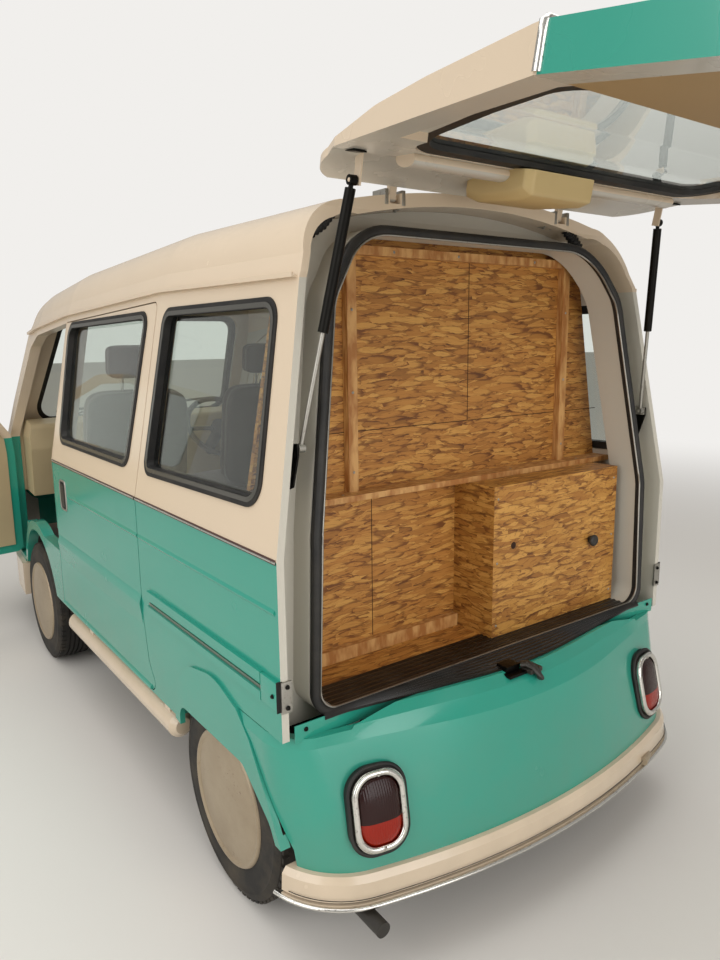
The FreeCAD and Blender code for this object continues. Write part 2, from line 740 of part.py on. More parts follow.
def window_seals():
    rings = []
    for hole in (SLIDE_WINDOW, QUARTER_WINDOW):
        ring = plate_xz(hole, 400, 800, -FIT).cut(plate_xz(hole, 400, 800, -WINDOW_SEAL))
        pane = GLASS_LAYER.common(plate_xz(hole, 400, 800, -WINDOW_SEAL + 6))
        rings.append(SEAL_LAYER.common(ring).cut(pane))
    rings += [mirrored(ring) for ring in rings]
    ring = windscreen_cut(-FIT).cut(windscreen_cut(-WINDOW_SEAL))
    rings.append(SEAL_LAYER.common(ring).cut(windscreen()))
    return Part.makeCompound(rings)


def windscreen():
    return GLASS_LAYER.common(windscreen_cut(-WINDOW_SEAL + 6))


def slide_rail():
    outer = box(-1190, -500, HALF_W - 6, HALF_W + 10, 645, 712)
    slot = box(-1200, -500, HALF_W - 2, HALF_W + 12, 666, 686)
    return outer.cut(slot)


def mould_panel():
    panel = mould_block(0).cut(mould_block(MOULD_WALL))
    panel = panel.cut(box(REAR_EDGE - 3, -900, -800, 800, MOULD_SEAM_Z, 700))
    front = box(-1300, -800, -800, 800, 0, 700).cut(behind_seam(0))
    panel = panel.cut(front).cut(rear_arch(-800, 800))
    for side in (1, -1):
        panel = panel.cut(lamp_oval(side, -LAMP_RIM, -80, 80))
    sill = box(REAR_EDGE - 16, REAR_EDGE + CHANNEL - FIT, -676, 676, 571, 584)
    panel = panel.fuse(sill).removeSplitter()
    return max(panel.Solids, key=lambda s: s.Volume)


# An oval plate square to the panel at a lamp, between two depths along its own axis
def lamp_oval(side, offset, near, far):
    half_w = LAMP_W / 2
    half_h = LAMP_H / 2
    corners = [(-half_w, -half_h, 52), (half_w, -half_h, 52), (half_w, half_h, 52), (-half_w, half_h, 52)]
    plate = plate_yz(corners, near, far, offset)
    plate.rotate(V(0, 0, 0), V(0, 1, 0), LAMP_LEAN)
    plate.rotate(V(0, 0, 0), V(0, 0, 1), -side * LAMP_YAW)
    plate.translate(V(LAMP_X, side * LAMP_Y, LAMP_Z))
    return plate


# Rear bumper, from below: height, how far its face stands out at that height
BUMPER_SECTION = ((BUMPER_LOW, 24.0), (BUMPER_LOW + 9, 26.0), (BUMPER_LOW + 9, 15.0),
                  (BUMPER_LOW + 15, 15.0), (BUMPER_LOW + 15, 24.0), (BUMPER_TOP - 14, 22.0),
                  (BUMPER_TOP, 12.0))


def rear_bumper():
    plan = mould_plan(*MOULD_SECTIONS[0][1:])
    layers = []
    for (low, low_out), (high, high_out) in zip(BUMPER_SECTION, BUMPER_SECTION[1:]):
        if low == high:
            continue
        wires = [face_of(plan, lambda u, v: V(u, v, z), out).OuterWire
                 for z, out in ((low, low_out), (high, high_out))]
        layers.append(Part.makeLoft(wires, True, True))
    bar = layers[0].fuse(layers[1:]).cut(plate_xy(plan, 0, 400, -MOULD_WALL))
    return bar.common(box(-1500, -1250, -800, 800, 0, 500)).removeSplitter()


def side_tube():
    tube = rod((TUBE_REAR + 18, TUBE_Y, TUBE_Z), (TUBE_FRONT - 18, TUBE_Y, TUBE_Z), TUBE_R)
    ends = [Part.makeCone(TUBE_R, TUBE_R * 0.6, 18, V(x, TUBE_Y, TUBE_Z), V(way, 0, 0))
            for x, way in ((TUBE_REAR + 18, -1), (TUBE_FRONT - 18, 1))]
    brackets = [box(x - 20, x + 20, HALF_W - WALL, HALF_W - 10, TUBE_Z + 20, SKIRT_Z) for x in (-560, 180)]
    return fused(tube, *ends, *brackets)


TOW_FRONT_SHAPE = [(1480, 352), (1558, 352), (1758, 262, 20), (1758, 148, 28), (1696, 148, 28),
                   (1690, 225), (1480, 330)]
TOW_REAR_SHAPE = [(-1050, 548), (-1128, 548), (-1330, 300, 20), (-1330, 140, 28), (-1270, 140, 28),
                  (-1264, 250), (-1050, 480)]


def tow_plate(hole, corners, y):
    plate = plate_xz(corners, y - TOW_PLATE / 2, y + TOW_PLATE / 2)
    return plate.cut(disc(hole[0], hole[1], TOW_HOLE_R, y - TOW_PLATE, y + TOW_PLATE))


def floor_pan():
    inside = body_solid(WALL + FIT, WALL, OPEN_REAR)
    floor = box(DECK_X, NOSE_START + 180, -800, 800, FLOOR_Z - SHEET, FLOOR_Z)
    deck = box(REAR_EDGE + CHANNEL + CHANNEL_SHEET + FIT, DECK_X + SHEET, -800, 800, DECK_Z - SHEET, DECK_Z)
    riser = box(DECK_X, DECK_X + SHEET, -800, 800, FLOOR_Z - SHEET, DECK_Z)
    pan = floor.fuse([deck, riser]).common(inside)
    rails = []
    for side in (1, -1):
        y = side * REAR_RAIL_Y
        rails.append(box(-1130, -560, y - RAIL_HALF, y + RAIL_HALF, RAIL_Z, DECK_Z - SHEET))
        rails.append(box(-600, -560, y - RAIL_HALF, y + RAIL_HALF, 400, DECK_Z - SHEET))
        y = side * FRONT_RAIL_Y
        rails.append(box(-600, 1560, y - RAIL_HALF, y + RAIL_HALF, 350, FLOOR_Z - SHEET))
        y0, y1 = sorted((side * (JACK_Y - 25), side * (JACK_Y + 25)))
        rails += [box(x - 30, x + 30, y0, y1, JACK_Z, FLOOR_Z - 2) for x in JACK_X]
    houses = []
    for side in (1, -1):
        y0, y1 = sorted((side * WHEELHOUSE_IN, side * (HALF_W - WALL - FIT)))
        houses.append(disc(FRONT_X, AXLE_Z, ARCH_R + SHEET, y0, y1))
        y0, y1 = sorted((side * 480, side * (HALF_W - WALL - FIT)))
        houses.append(disc(REAR_X, AXLE_Z, REAR_HOUSE_R + 10, y0, y1))
    houses = [house.common(inside) for house in houses]
    pan = pan.fuse(rails + houses + [tow_plate(TOW_FRONT, TOW_FRONT_SHAPE, -FRONT_RAIL_Y),
                                     tow_plate(TOW_REAR, TOW_REAR_SHAPE, -REAR_RAIL_Y)])
    for side in (1, -1):
        y0, y1 = sorted((side * (WHEELHOUSE_IN + SHEET), side * 800))
        pan = pan.cut(disc(FRONT_X, AXLE_Z, ARCH_R, y0, y1))
        y0, y1 = sorted((side * 490, side * 800))
        pan = pan.cut(disc(REAR_X, AXLE_Z, REAR_HOUSE_R, y0, y1))
    low = box(600, 1300, WHEELHOUSE_IN - 2, 800, -200, BODY_LOW + 10).fuse(
        box(-1300, -600, 470, 800, -200, BODY_LOW + 10))
    return pan.cut(low).cut(mirrored(low)).removeSplitter()


def tyre(x, side):
    half = TYRE_W / 2
    right = [(half, RIM_R + 2), (half + 4, RIM_R + 42), (half + 1, TYRE_R - 34), (half - 9, TYRE_R - 9),
             (half - 24, TYRE_R)]
    outer = [(-u, v) for u, v in right] + right[::-1]
    wire = loop(outer, lambda u, v: V(x, side * WHEEL_Y + u, AXLE_Z + v))
    return Part.Face(wire).revolve(V(x, 0, AXLE_Z), V(0, 1, 0), 360)


# The rim's section and its domed cap: distance from the centre plane, radius
def rim(x, side):
    face_y = CAP_FACE
    profile = [(538, RIM_R + 1.7), (538, RIM_R - 14), (632, RIM_R - 24), (640, 60), (632, 30), (632, 0),
               (face_y, 0), (face_y - 3, 75), (face_y - 14, RIM_R - 22), (face_y - 26, RIM_R + 1.7)]
    wire = loop(profile, lambda u, v: V(x, side * u, AXLE_Z + v))
    wheel = Part.Face(wire).revolve(V(x, 0, AXLE_Z), V(0, 1, 0), 360)
    return wheel.cut(between(x, AXLE_Z, HUB_PIN_R + RUNNING, side, 600, HUB_PIN_END + 2))


# A cylinder along Y on the left or, with side -1, the right
def between(x, z, radius, side, near, far):
    return disc(x, z, radius, *sorted((side * near, side * far)))


def hub(x, side, near):
    return between(x, AXLE_Z, HUB_R, side, near, HUB_END).fuse(
        between(x, AXLE_Z, HUB_PIN_R, side, near, HUB_PIN_END))


def knuckle(side):
    x = FRONT_X
    upright = box(x - 30, x + 30, *sorted((side * (KINGPIN_Y - 22), side * 524)), 205, 352)
    arm = box(x - 130, x - 20, *sorted((side * (KINGPIN_Y - 22), side * (KINGPIN_Y - 4))), 240, 262)
    leg = rod((x, side * KINGPIN_Y, 350), (x, side * KINGPIN_Y, AXLE_Z + ARCH_R - 2), STRUT_LEG_R)
    socket = rod((x, side * KINGPIN_Y, 200), (x, side * KINGPIN_Y, 242), 9 + RUNNING)
    return fused(hub(x, side, 520), upright, arm, leg).cut(socket)


def front_axle():
    x = FRONT_X
    beam = box(x - 45, x + 45, -300, 300, 262, 350)
    parts = [beam]
    for side in (1, -1):
        arm = plate_xy([(x - 60, side * 270), (x + 60, side * 270), (x + 26, side * (KINGPIN_Y + 14)),
                        (x - 26, side * (KINGPIN_Y + 14))][::side], 178, 202)
        web = box(x - 40, x + 40, *sorted((side * 265, side * 299)), 178, 264)
        kingpin = rod((x, side * KINGPIN_Y, 195), (x, side * KINGPIN_Y, 240), 9)
        hanger = box(x - 40, x + 40, *sorted((side * 275, side * 299)), 348, FLOOR_Z - SHEET - 65)
        parts += [arm, web, kingpin, hanger]
    steering_rack = rod((x - 140, -390, 252), (x - 140, 390, 252), 14)
    mounts = [box(x - 155, x - 40, s - 12, s + 12, 264, 300) for s in (-200, 200)]
    return beam.fuse(parts[1:] + [steering_rack] + mounts).removeSplitter()


def rear_axle():
    tube = rod((REAR_X, -606, AXLE_Z), (REAR_X, 606, AXLE_Z), 30)
    arms = [hub(REAR_X, side, 585) for side in (1, -1)]
    for side in (1, -1):
        y = side * REAR_RAIL_Y
        link = [(REAR_X - 40, 235), (REAR_X - 40, 300), (DECK_X + 25, 400), (DECK_X + 55, 380),
                (DECK_X + 30, 330), (REAR_X + 40, 232)]
        arms.append(plate_xz(link, y - 25, y + 25))
        arms.append(rod((REAR_X - 30, y, 290), (REAR_X - 30, y, RAIL_Z), 24))
    return fused(tube, *arms)


def engine():
    block = box(-1335, -1000, -300, 300, 262, RAIL_Z).cut(box(-1340, -1150, -310, -200, 420, 550))
    return block.fuse(box(-1048, -1012, -395, 395, 520, RAIL_Z)).removeSplitter()


def exhaust():
    drum = rod((EXHAUST_X, 330, 330), (EXHAUST_X, 520, 330), 42)
    outlet = rod((EXHAUST_X, 500, 315), (EXHAUST_X - 12, 560, 156), 18)
    tail = rod((EXHAUST_X, 560, 162), (-1440, 560, 158), 18)
    link = rod((EXHAUST_X, 300, 330), (EXHAUST_X, 332, 330), 20)
    return fused(drum, outlet, tail, link)


def fuel_tank():
    return plate_xz([(-330, 262, 30), (170, 262, 30), (170, 390, 30), (-330, 390, 30)], 30, 270).fuse(
        box(-60, -20, 40, 260, 380, FLOOR_Z - SHEET))


def seat_bases():
    base = box(SEAT_X - 30, SEAT_X + 330, SEAT_Y - 190, SEAT_Y + 190, FLOOR_Z, SEAT_Z)
    base = base.cut(disc(FRONT_X, AXLE_Z, ARCH_R + SHEET + FIT, 0, 700))
    base = base.cut(box(SEAT_X - 10, SEAT_X + 310, SEAT_Y - 170, SEAT_Y + 170, 0, SEAT_Z - 12))
    return pair(max(base.Solids, key=lambda s: s.Volume))


def seat_cushions():
    profile = [(SEAT_X - 60, SEAT_Z + FIT), (SEAT_X + 400, SEAT_Z + FIT, 30),
               (SEAT_X + 420, SEAT_Z + 130, 45), (SEAT_X + 60, SEAT_Z + 110, 20), (SEAT_X - 40, SEAT_Z + 90)]
    return pair(plate_xz(profile, SEAT_Y - 235, SEAT_Y + 235))


def seat_backs():
    profile = [(SEAT_X - 40, SEAT_Z + 90.3), (SEAT_X + 60, SEAT_Z + 110.3), (SEAT_X - 30, SEAT_Z + 600, 40),
               (SEAT_X - 150, SEAT_Z + 590, 50), (SEAT_X - 165, SEAT_Z + 500, 40)]
    back = plate_xz(profile, SEAT_Y - 225, SEAT_Y + 225)
    posts = [rod((SEAT_X - 92, SEAT_Y + s, SEAT_Z + 580), (SEAT_X - 108, SEAT_Y + s, SEAT_Z + 660), 6)
             for s in (-60, 60)]
    rest = [(SEAT_X - 140, SEAT_Z + 640, 30), (SEAT_X - 60, SEAT_Z + 640, 30),
            (SEAT_X - 80, SEAT_Z + 780, 30), (SEAT_X - 150, SEAT_Z + 780, 30)]
    return pair(fused(back, plate_xz(rest, SEAT_Y - 125, SEAT_Y + 125), *posts))


def dashboard():
    profile = [(1255, 700), (1225, 930, 40), (1250, 1045, 30), (1400, 1062, 40), (1560, 1010), (1560, 960),
               (1500, 700)]
    inside = body_solid(WALL + FIT, WALL, OPEN_REAR)
    dash = plate_xz(profile, -700, 700).common(inside)
    door_room = box(1150, DOOR_FRONT + GAP, -700, 700, 600, 1100)
    door_room = door_room.cut(body_solid(WALL + 8 + GAP, WALL, OPEN_REAR))
    dash = dash.cut(door_room)
    return dash.cut(plate_xz([(1200, 800), (1262, 800), (1262, 880), (1200, 880)], 130, 480))


def steering_axis():
    lean = math.radians(WHEEL_TILT)
    return V(-math.cos(lean), 0, math.sin(lean))


def steering_wheel():
    axis = steering_axis()
    corners = [(14 * math.cos(math.pi * i / 4), 14 * math.sin(math.pi * i / 4)) for i in range(8)]
    ring = Part.Face(loop(corners, lambda u, v: V(180 + u, 0, v))).revolve(V(0, 0, 0), V(0, 0, 1), 360)
    ring.Placement = FreeCAD.Placement(WHEEL_HUB, FreeCAD.Rotation(V(0, 0, 1), axis))
    pad = Part.makeCylinder(48, 40, WHEEL_HUB - axis * 38, axis)
    across = V(0, 1, 0)
    down = axis.cross(across)
    spokes = [rod(WHEEL_HUB - axis * 14 + d * 40, WHEEL_HUB - axis * 2 + d * 172, 11)
              for d in (across, across * -1, down)]
    return fused(ring, pad, *spokes)


def steering_column():
    axis = steering_axis()
    start = WHEEL_HUB - axis * 38.5
    return rod(start, start - axis * 230, 30).cut(dashboard())


# Boards and battens of the load bay, on the bed behind the tailgate
def load_fit_out():
    inside = body_solid(WALL + FIT, ROOF_WALL + FIT, OPEN_REAR)
    rear = REAR_EDGE + CHANNEL + CHANNEL_SHEET + FIT
    foot = DECK_Z + BOARD
    bed = box(rear, -640, -645, 645, DECK_Z, foot)
    wall = box(WALL_X, WALL_X + BOARD, -650, 650, foot, 1750)
    rail = box(WALL_X - RAIL_DEEP, WALL_X, -650, 650, RAIL_TOP - BOARD, RAIL_TOP)
    skirting = box(WALL_X - 20, WALL_X, CABINET_SIDES[1] + 2, 650, foot, foot + 36)
    battens = [box(WALL_X - BATTEN_DEEP, WALL_X, y - 14, y + 14, RAIL_TOP, BATTEN_TOP) for y in (352, -446)]
    battens.append(box(WALL_X - BATTEN_DEEP, WALL_X, -460, 366, BATTEN_TOP - 22, BATTEN_TOP))
    whole = bed.fuse([wall, rail, skirting] + battens)
    return whole.common(inside).removeSplitter()


def cabinet():
    right, left = CABINET_SIDES
    top = RAIL_TOP - BOARD - FIT
    block = box(CABINET_X, WALL_X - FIT, right, left, DECK_Z + BOARD, top)
    inner = box(CABINET_X + BOARD, WALL_X, right + BOARD, left - BOARD, DECK_Z + 2 * BOARD, top - BOARD)
    return block.cut(inner)


def lamp_gaskets():
    ring = lamp_oval(1, 8, -10, 60).cut(lamp_oval(1, -LAMP_RIM, -60, 80))
    return pair(ring.cut(mould_block(-FIT)))


def lamp_rims():
    return pair(lamp_oval(1, 0, -22, -10).cut(lamp_oval(1, -LAMP_RIM, -60, 80)))


def lamp_lenses():
    return pair(lamp_oval(1, -LAMP_RIM - FIT, -20, 6))


def headlamps():
    lens = lamp_bore(1, HEADLAMP_R - 14, LAMP_FACE_X - 60, LAMP_FACE_X + 8)
    face = V(LAMP_FACE_X + 8, HEADLAMP_Y, HEADLAMP_Z)
    dome = Part.makeCone(HEADLAMP_R - 14, HEADLAMP_R - 46, 15, face, V(1, 0, 0))
    return pair(lens.fuse(dome).removeSplitter())


def headlamp_rims():
    sleeve = lamp_bore(1, HEADLAMP_R - 4 - FIT, LAMP_FACE_X - 60, LAMP_FACE_X + 14)
    bezel = lamp_bore(1, HEADLAMP_R + 10, LAMP_FACE_X + FIT, LAMP_FACE_X + 14)
    ring = sleeve.fuse(bezel).cut(lamp_bore(1, HEADLAMP_R - 14 + FIT, LAMP_FACE_X - 70, LAMP_FACE_X + 40))
    return pair(ring.removeSplitter())


def write(name, shape):
    solids = shape.Solids
    if not solids:
        raise ValueError(name + " has no solid")
    whole = solids[0] if len(solids) == 1 else Part.makeCompound(solids)
    whole.exportStep("parts/" + name + ".step")
    valid = all(s.isValid() for s in solids)
    print(name, len(solids), round(sum(s.Volume for s in solids) / 1e6, 3), "" if valid else "NOT VALID")


def gate_closed_point(point):
    marker = Part.Vertex(point)
    marker.rotate(V(GATE_HINGE_X, 0, GATE_HINGE_Z), V(0, 1, 0), -GATE_OPEN)
    return marker.Point


STRUT_HIGH_SHUT = gate_closed_point(STRUT_HIGH)

LEFT_SIDE = side_panel()
write("roof", roof())
write("side_panel_left", LEFT_SIDE)
write("side_panel_right", mirrored(LEFT_SIDE))
write("front_frame", front_frame())
write("nose_panel", nose_panel())
write("front_bumper", front_bumper_block(0))
write("rear_frame", rear_frame())
write("rear_seal", rear_seal())
write("rear_panel", mould_panel())
write("rear_bumper", rear_bumper())
write("side_tubes", pair(side_tube()))
write("windscreen", windscreen())
write("side_glass", side_glass())
write("window_seals", window_seals())
SLIDING = sliding_door()
write("sliding_door_left", SLIDING)
write("sliding_door_right", mirrored(SLIDING))
write("floor_pan", floor_pan())
write("front_axle", front_axle())
write("rear_axle", rear_axle())
write("engine_block", engine())
write("exhaust", exhaust())
write("fuel_tank", fuel_tank())
write("seat_bases", seat_bases())
write("seat_cushions", seat_cushions())
write("seat_backs", seat_backs())
write("dashboard", dashboard())
write("steering_column", steering_column())
write("steering_wheel", steering_wheel())
write("load_boards", load_fit_out())
write("load_cabinet", cabinet())
write("tail_lamp_gaskets", lamp_gaskets())
write("lamp_rims", Part.makeCompound([lamp_rims(), headlamp_rims()]))
write("tail_lamp_lenses", lamp_lenses())
write("headlamp_lenses", headlamps())
for name, x, side in (("front_left", FRONT_X, 1), ("front_right", FRONT_X, -1),
                      ("rear_left", REAR_X, 1), ("rear_right", REAR_X, -1)):
    write("tyre_" + name, tyre(x, side))
    write("wheel_" + name, rim(x, side))
for name, side in (("left", 1), ("right", -1)):
    write("knuckle_" + name, knuckle(side))
DOOR = front_door()
DOOR_PANE = door_glass()
DOOR_LINING = door_trim()
write("front_door_left", swung_door(DOOR, 1))
write("front_door_left_glass", swung_door(DOOR_PANE, 1))
write("front_door_left_trim", swung_door(DOOR_LINING, 1))
MIRROR = door_mirror()
write("mirror_left", swung_door(MIRROR, 1))
write("mirror_right", mirrored(MIRROR))
write("front_door_right", mirrored(DOOR))
write("front_door_right_glass", mirrored(DOOR_PANE))
write("front_door_right_trim", mirrored(DOOR_LINING))
write("tailgate", gate_turned(tailgate(), GATE_OPEN))
write("tailgate_glass", gate_turned(gate_glass(), GATE_OPEN))
write("tailgate_seal", gate_turned(gate_seal(), GATE_OPEN))
write("tailgate_lining", gate_turned(Part.makeCompound([gate_lining(), gate_cover()]), GATE_OPEN))
for name, side in (("left", 1), ("right", -1)):
    write("strut_tube_" + name, strut_tube(side))
    write("strut_rod_" + name, strut_rod(side))
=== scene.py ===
import bpy
import bmesh
import json
import math
from mathutils import Matrix, Vector


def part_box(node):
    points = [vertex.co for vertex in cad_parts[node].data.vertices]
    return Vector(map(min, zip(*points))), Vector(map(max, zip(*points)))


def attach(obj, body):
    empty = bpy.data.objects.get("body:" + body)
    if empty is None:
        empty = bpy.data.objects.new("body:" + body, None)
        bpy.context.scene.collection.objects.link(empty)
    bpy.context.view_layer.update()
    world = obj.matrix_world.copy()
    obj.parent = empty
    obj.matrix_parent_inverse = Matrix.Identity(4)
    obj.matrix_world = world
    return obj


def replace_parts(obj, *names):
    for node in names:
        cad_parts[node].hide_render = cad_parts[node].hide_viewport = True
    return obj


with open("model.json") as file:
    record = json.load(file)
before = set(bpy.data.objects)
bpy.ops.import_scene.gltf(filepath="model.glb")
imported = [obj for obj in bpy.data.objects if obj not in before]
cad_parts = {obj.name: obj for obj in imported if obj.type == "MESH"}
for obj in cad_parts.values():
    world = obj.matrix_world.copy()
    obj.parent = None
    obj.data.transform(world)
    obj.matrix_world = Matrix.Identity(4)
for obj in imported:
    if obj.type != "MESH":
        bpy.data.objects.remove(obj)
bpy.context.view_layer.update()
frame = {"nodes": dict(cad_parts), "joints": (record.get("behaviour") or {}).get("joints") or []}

bl_info = {
    "name": "Retro kei van",
    "version": (1, 0, 0),
    "blender": (4, 5, 0),
    "location": "3D View > Sidebar > Van",
    "description": "Dresses the packed van model: paint, rubber, glass, boards, trim, tyres and seats",
    "category": "Object",
}

BODY = "body"


# Sizes and places read from the frame

def low(node):
    return Vector(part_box(node)[0])


def high(node):
    return Vector(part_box(node)[1])


def joint(name):
    return next(j for j in frame["joints"] if j["name"] == name)


GATE_AXIS = Vector(joint("tailgate_hinge")["pos_m"])
GATE_OPEN = math.radians(79)
DOOR_AXIS = Vector(joint("door_left_hinge")["pos_m"])
DOOR_OPEN = math.radians(78)
CORNERS = ("front_left", "front_right", "rear_left", "rear_right")

# Pieces of the tailgate and of the left door are drawn closed, then turned open about the joint.
# The right door stays shut and takes the left one's shapes mirrored.
GATE_TURN = Matrix.Translation(GATE_AXIS) @ Matrix.Rotation(GATE_OPEN, 4, "Y") @ Matrix.Translation(-GATE_AXIS)
DOOR_TURN = Matrix.Translation(DOOR_AXIS) @ Matrix.Rotation(-DOOR_OPEN, 4, "Z") @ Matrix.Translation(-DOOR_AXIS)
MIRRORED = Matrix.Scale(-1, 4, (0, 1, 0))

# The body's side: half width, belt line, height and amount of the lean above it, and how far the nose
# tapers in. The swage is the fold along the side below the belt.
HALF_W = 0.6975
BELT = 0.976
LEAN_FROM = 0.98
LEAN = 0.1907
SWAGE_Z = 0.862
TAPER = ((-1.42, 0.0), (0.508, 0.0), (1.0, 0.009), (1.45, 0.038), (1.99, 0.095))

# The body's rear as (height, x), and the tailgate's outer and inner faces when it is shut
REAR_LINE = ((0.24, -1.265), (0.98, -1.265), (1.57, -1.205), (1.715, -1.158), (1.807, -1.162))
GATE_OUTER_X = -1.3290
GATE_INNER_X = -1.2085

# Outlines as (across, up, corner radius): the rear opening, the two side windows and a tail lamp
REAR_HOLE = ((-0.600, 0.604, 0.050), (0.600, 0.604, 0.050), (0.585, 1.000, 0.300), (0.502, 1.520, 0.120),
             (0.405, 1.668, 0.160), (-0.405, 1.668, 0.160), (-0.502, 1.520, 0.120), (-0.585, 1.000, 0.300))
SIDE_WINDOWS = (
    ((0.425, 1.052, 0.070), (-0.345, 1.052, 0.050), (-0.372, 1.522, 0.050), (0.470, 1.508, 0.060)),
    ((-0.478, 1.054, 0.045), (-1.172, 1.068, 0.060), (-1.136, 1.524, 0.060), (-0.488, 1.524, 0.050)))
LAMP_OVAL = ((-0.066, -0.091, 0.052), (0.066, -0.091, 0.052), (0.066, 0.091, 0.052), (-0.066, 0.091, 0.052))

# Plans of the rear panel as (x, y, corner radius), at its foot and at its top
PANEL_FOOT = ((-1.050, 0.690), (-1.338, 0.690, 0.200), (-1.522, 0.0, 2.0), (-1.338, -0.690, 0.200),
              (-1.050, -0.690))
PANEL_TOP = ((-1.050, 0.668), (-1.262, 0.668, 0.100), (-1.362, 0.0, 1.190), (-1.262, -0.668, 0.100),
             (-1.050, -0.668))

# The left tail lamp's middle, how it leans and turns with the panel, and where its lens changes colour
LAMP_AT = (-1.353, 0.511, 0.389)
LAMP_LEAN = math.radians(12.5)
LAMP_YAW = math.radians(11)
LAMP_SPLIT = 0.374

# Rear faces of the board wall and of the cabinet, the sill board's top, and the rear posts' place and foot
WALL_X = -1.040
CABINET_X = -1.195
SILL_BOARD_TOP = 0.606
POST_X = -1.2
POST_FOOT = 0.565


class VanPaint(bpy.types.PropertyGroup):
    teal: bpy.props.StringProperty(name="Teal", description="Lower body paint, sRGB hex", default="#1F9782")
    cream: bpy.props.StringProperty(name="Cream", description="Upper body paint, sRGB hex", default="#DCC8AE")
    grey: bpy.props.StringProperty(name="Jambs", description="Paint of jambs and rear frame, sRGB hex",
                                   default="#CBC6B9")
    board: bpy.props.StringProperty(name="Board", description="Middle tone of the strand boards, sRGB hex",
                                    default="#B57B36")
    strand: bpy.props.FloatProperty(name="Strand", description="Length of a wood strand in the boards",
                                    default=0.085, min=0.02, max=0.3, unit="LENGTH")


class VanTrim(bpy.types.PropertyGroup):
    belt_high: bpy.props.FloatProperty(name="Belt strip", description="Height of the chrome belt strip",
                                       default=0.011, min=0.004, max=0.03, unit="LENGTH")
    bulb: bpy.props.FloatProperty(name="Seal bulb", description="Radius of the seal round the rear opening",
                                  default=0.0095, min=0.005, max=0.03, unit="LENGTH")
    ribs: bpy.props.IntProperty(name="Sill ribs", description="Ribs along the rubber sill strip",
                                default=6, min=1, max=12)
    tread: bpy.props.IntProperty(name="Tread blocks", description="Shoulder blocks round one tyre",
                                 default=64, min=20, max=120)
    steps: bpy.props.IntProperty(name="Tyre steps", description="Steps round a tyre",
                                 default=96, min=32, max=200)


class VanStage(bpy.types.PropertyGroup):
    focal: bpy.props.FloatProperty(name="Focal length", description="Camera focal length in millimetres",
                                   default=27.99, min=10, max=200)
    camera_at: bpy.props.FloatVectorProperty(name="Camera", description="Where the camera stands", size=3,
                                             default=(-2.567, 1.428, 1.427), subtype="TRANSLATION")
    yaw: bpy.props.FloatProperty(name="Yaw", description="Camera turn from ahead towards the right",
                                 default=math.radians(36.02), subtype="ANGLE")
    pitch: bpy.props.FloatProperty(name="Pitch", description="Camera tilt, down is negative",
                                   default=math.radians(-10.61), subtype="ANGLE")
    roll: bpy.props.FloatProperty(name="Roll", description="Camera roll about its view line",
                                  default=math.radians(-0.73), subtype="ANGLE")
    light: bpy.props.FloatProperty(name="Light", description="Strength of the surrounding light",
                                   default=0.42, min=0, max=5)


# Shapes

# Points of a closed outline whose corners are rounded where they carry a radius
def rounded(corners, steps=8):
    points = []
    for index, corner in enumerate(corners):
        point = Vector(corner[:2])
        if len(corner) < 3:
            points.append(point)
            continue
        back = (Vector(corners[index - 1][:2]) - point).normalized()
        ahead = (Vector(corners[(index + 1) % len(corners)][:2]) - point).normalized()
        half = back.angle(ahead) / 2
        centre = point + (back + ahead).normalized() * corner[2] / math.sin(half)
        start = point + back * corner[2] / math.tan(half) - centre
        end = point + ahead * corner[2] / math.tan(half) - centre
        turn = math.atan2(start.x * end.y - start.y * end.x, start.dot(end))
        first = math.atan2(start.y, start.x)
        points += [centre + corner[2] * Vector((math.cos(first + turn * s / steps),
                                                math.sin(first + turn * s / steps)))
                   for s in range(steps + 1)]
    return points


# The same corners moved inwards by a distance, their radii with them
def inset(corners, by):
    moved = []
    for index, (across, up, *radius) in enumerate(corners):
        point = Vector((across, up))
        back = (Vector(corners[index - 1][:2]) - point).normalized()
        ahead = (Vector(corners[(index + 1) % len(corners)][:2]) - point).normalized()
        point += (back + ahead).normalized() * by / math.sin(back.angle(ahead) / 2)
        moved.append((point.x, point.y, *[r - by for r in radius]))
    return moved


def between(table, place):
    for (a, start), (b, end) in zip(table, table[1:]):
        if place <= b:
            return start + (end - start) * (place - a) / (b - a)
    return table[-1][1]


# Half width of the body at a place on its side
def side_y(x, z):
    return HALF_W - between(TAPER, x) - LEAN * max(0.0, z - LEAN_FROM)


def rear_x(z):
    return between(REAR_LINE, z)


def centre_of(node):
    return (low(node) + high(node)) / 2


# The stretch between two distances from the middle, on the left (side 1) or on the right (side -1)
def span(side, near, far):
    return sorted((side * near, side * far))


# A round section, stretched by a share across and upwards
def circle(radius, count, across=1.0, up=1.0):
    return [(across * radius * math.cos(math.tau * i / count), up * radius * math.sin(math.tau * i / count))
            for i in range(count)]


# Puts a work mesh into a smooth object in the scene
def shown(name, mesh, work, material):
    work.to_mesh(mesh)
    work.free()
    mesh.polygons.foreach_set("use_smooth", [True] * len(mesh.polygons))
    mesh.materials.append(material)
    obj = bpy.data.objects.new(name, mesh)
    bpy.context.scene.collection.objects.link(obj)
    return obj


MERGE_WITHIN = 1e-6
BEVEL_ABOVE = 0.6


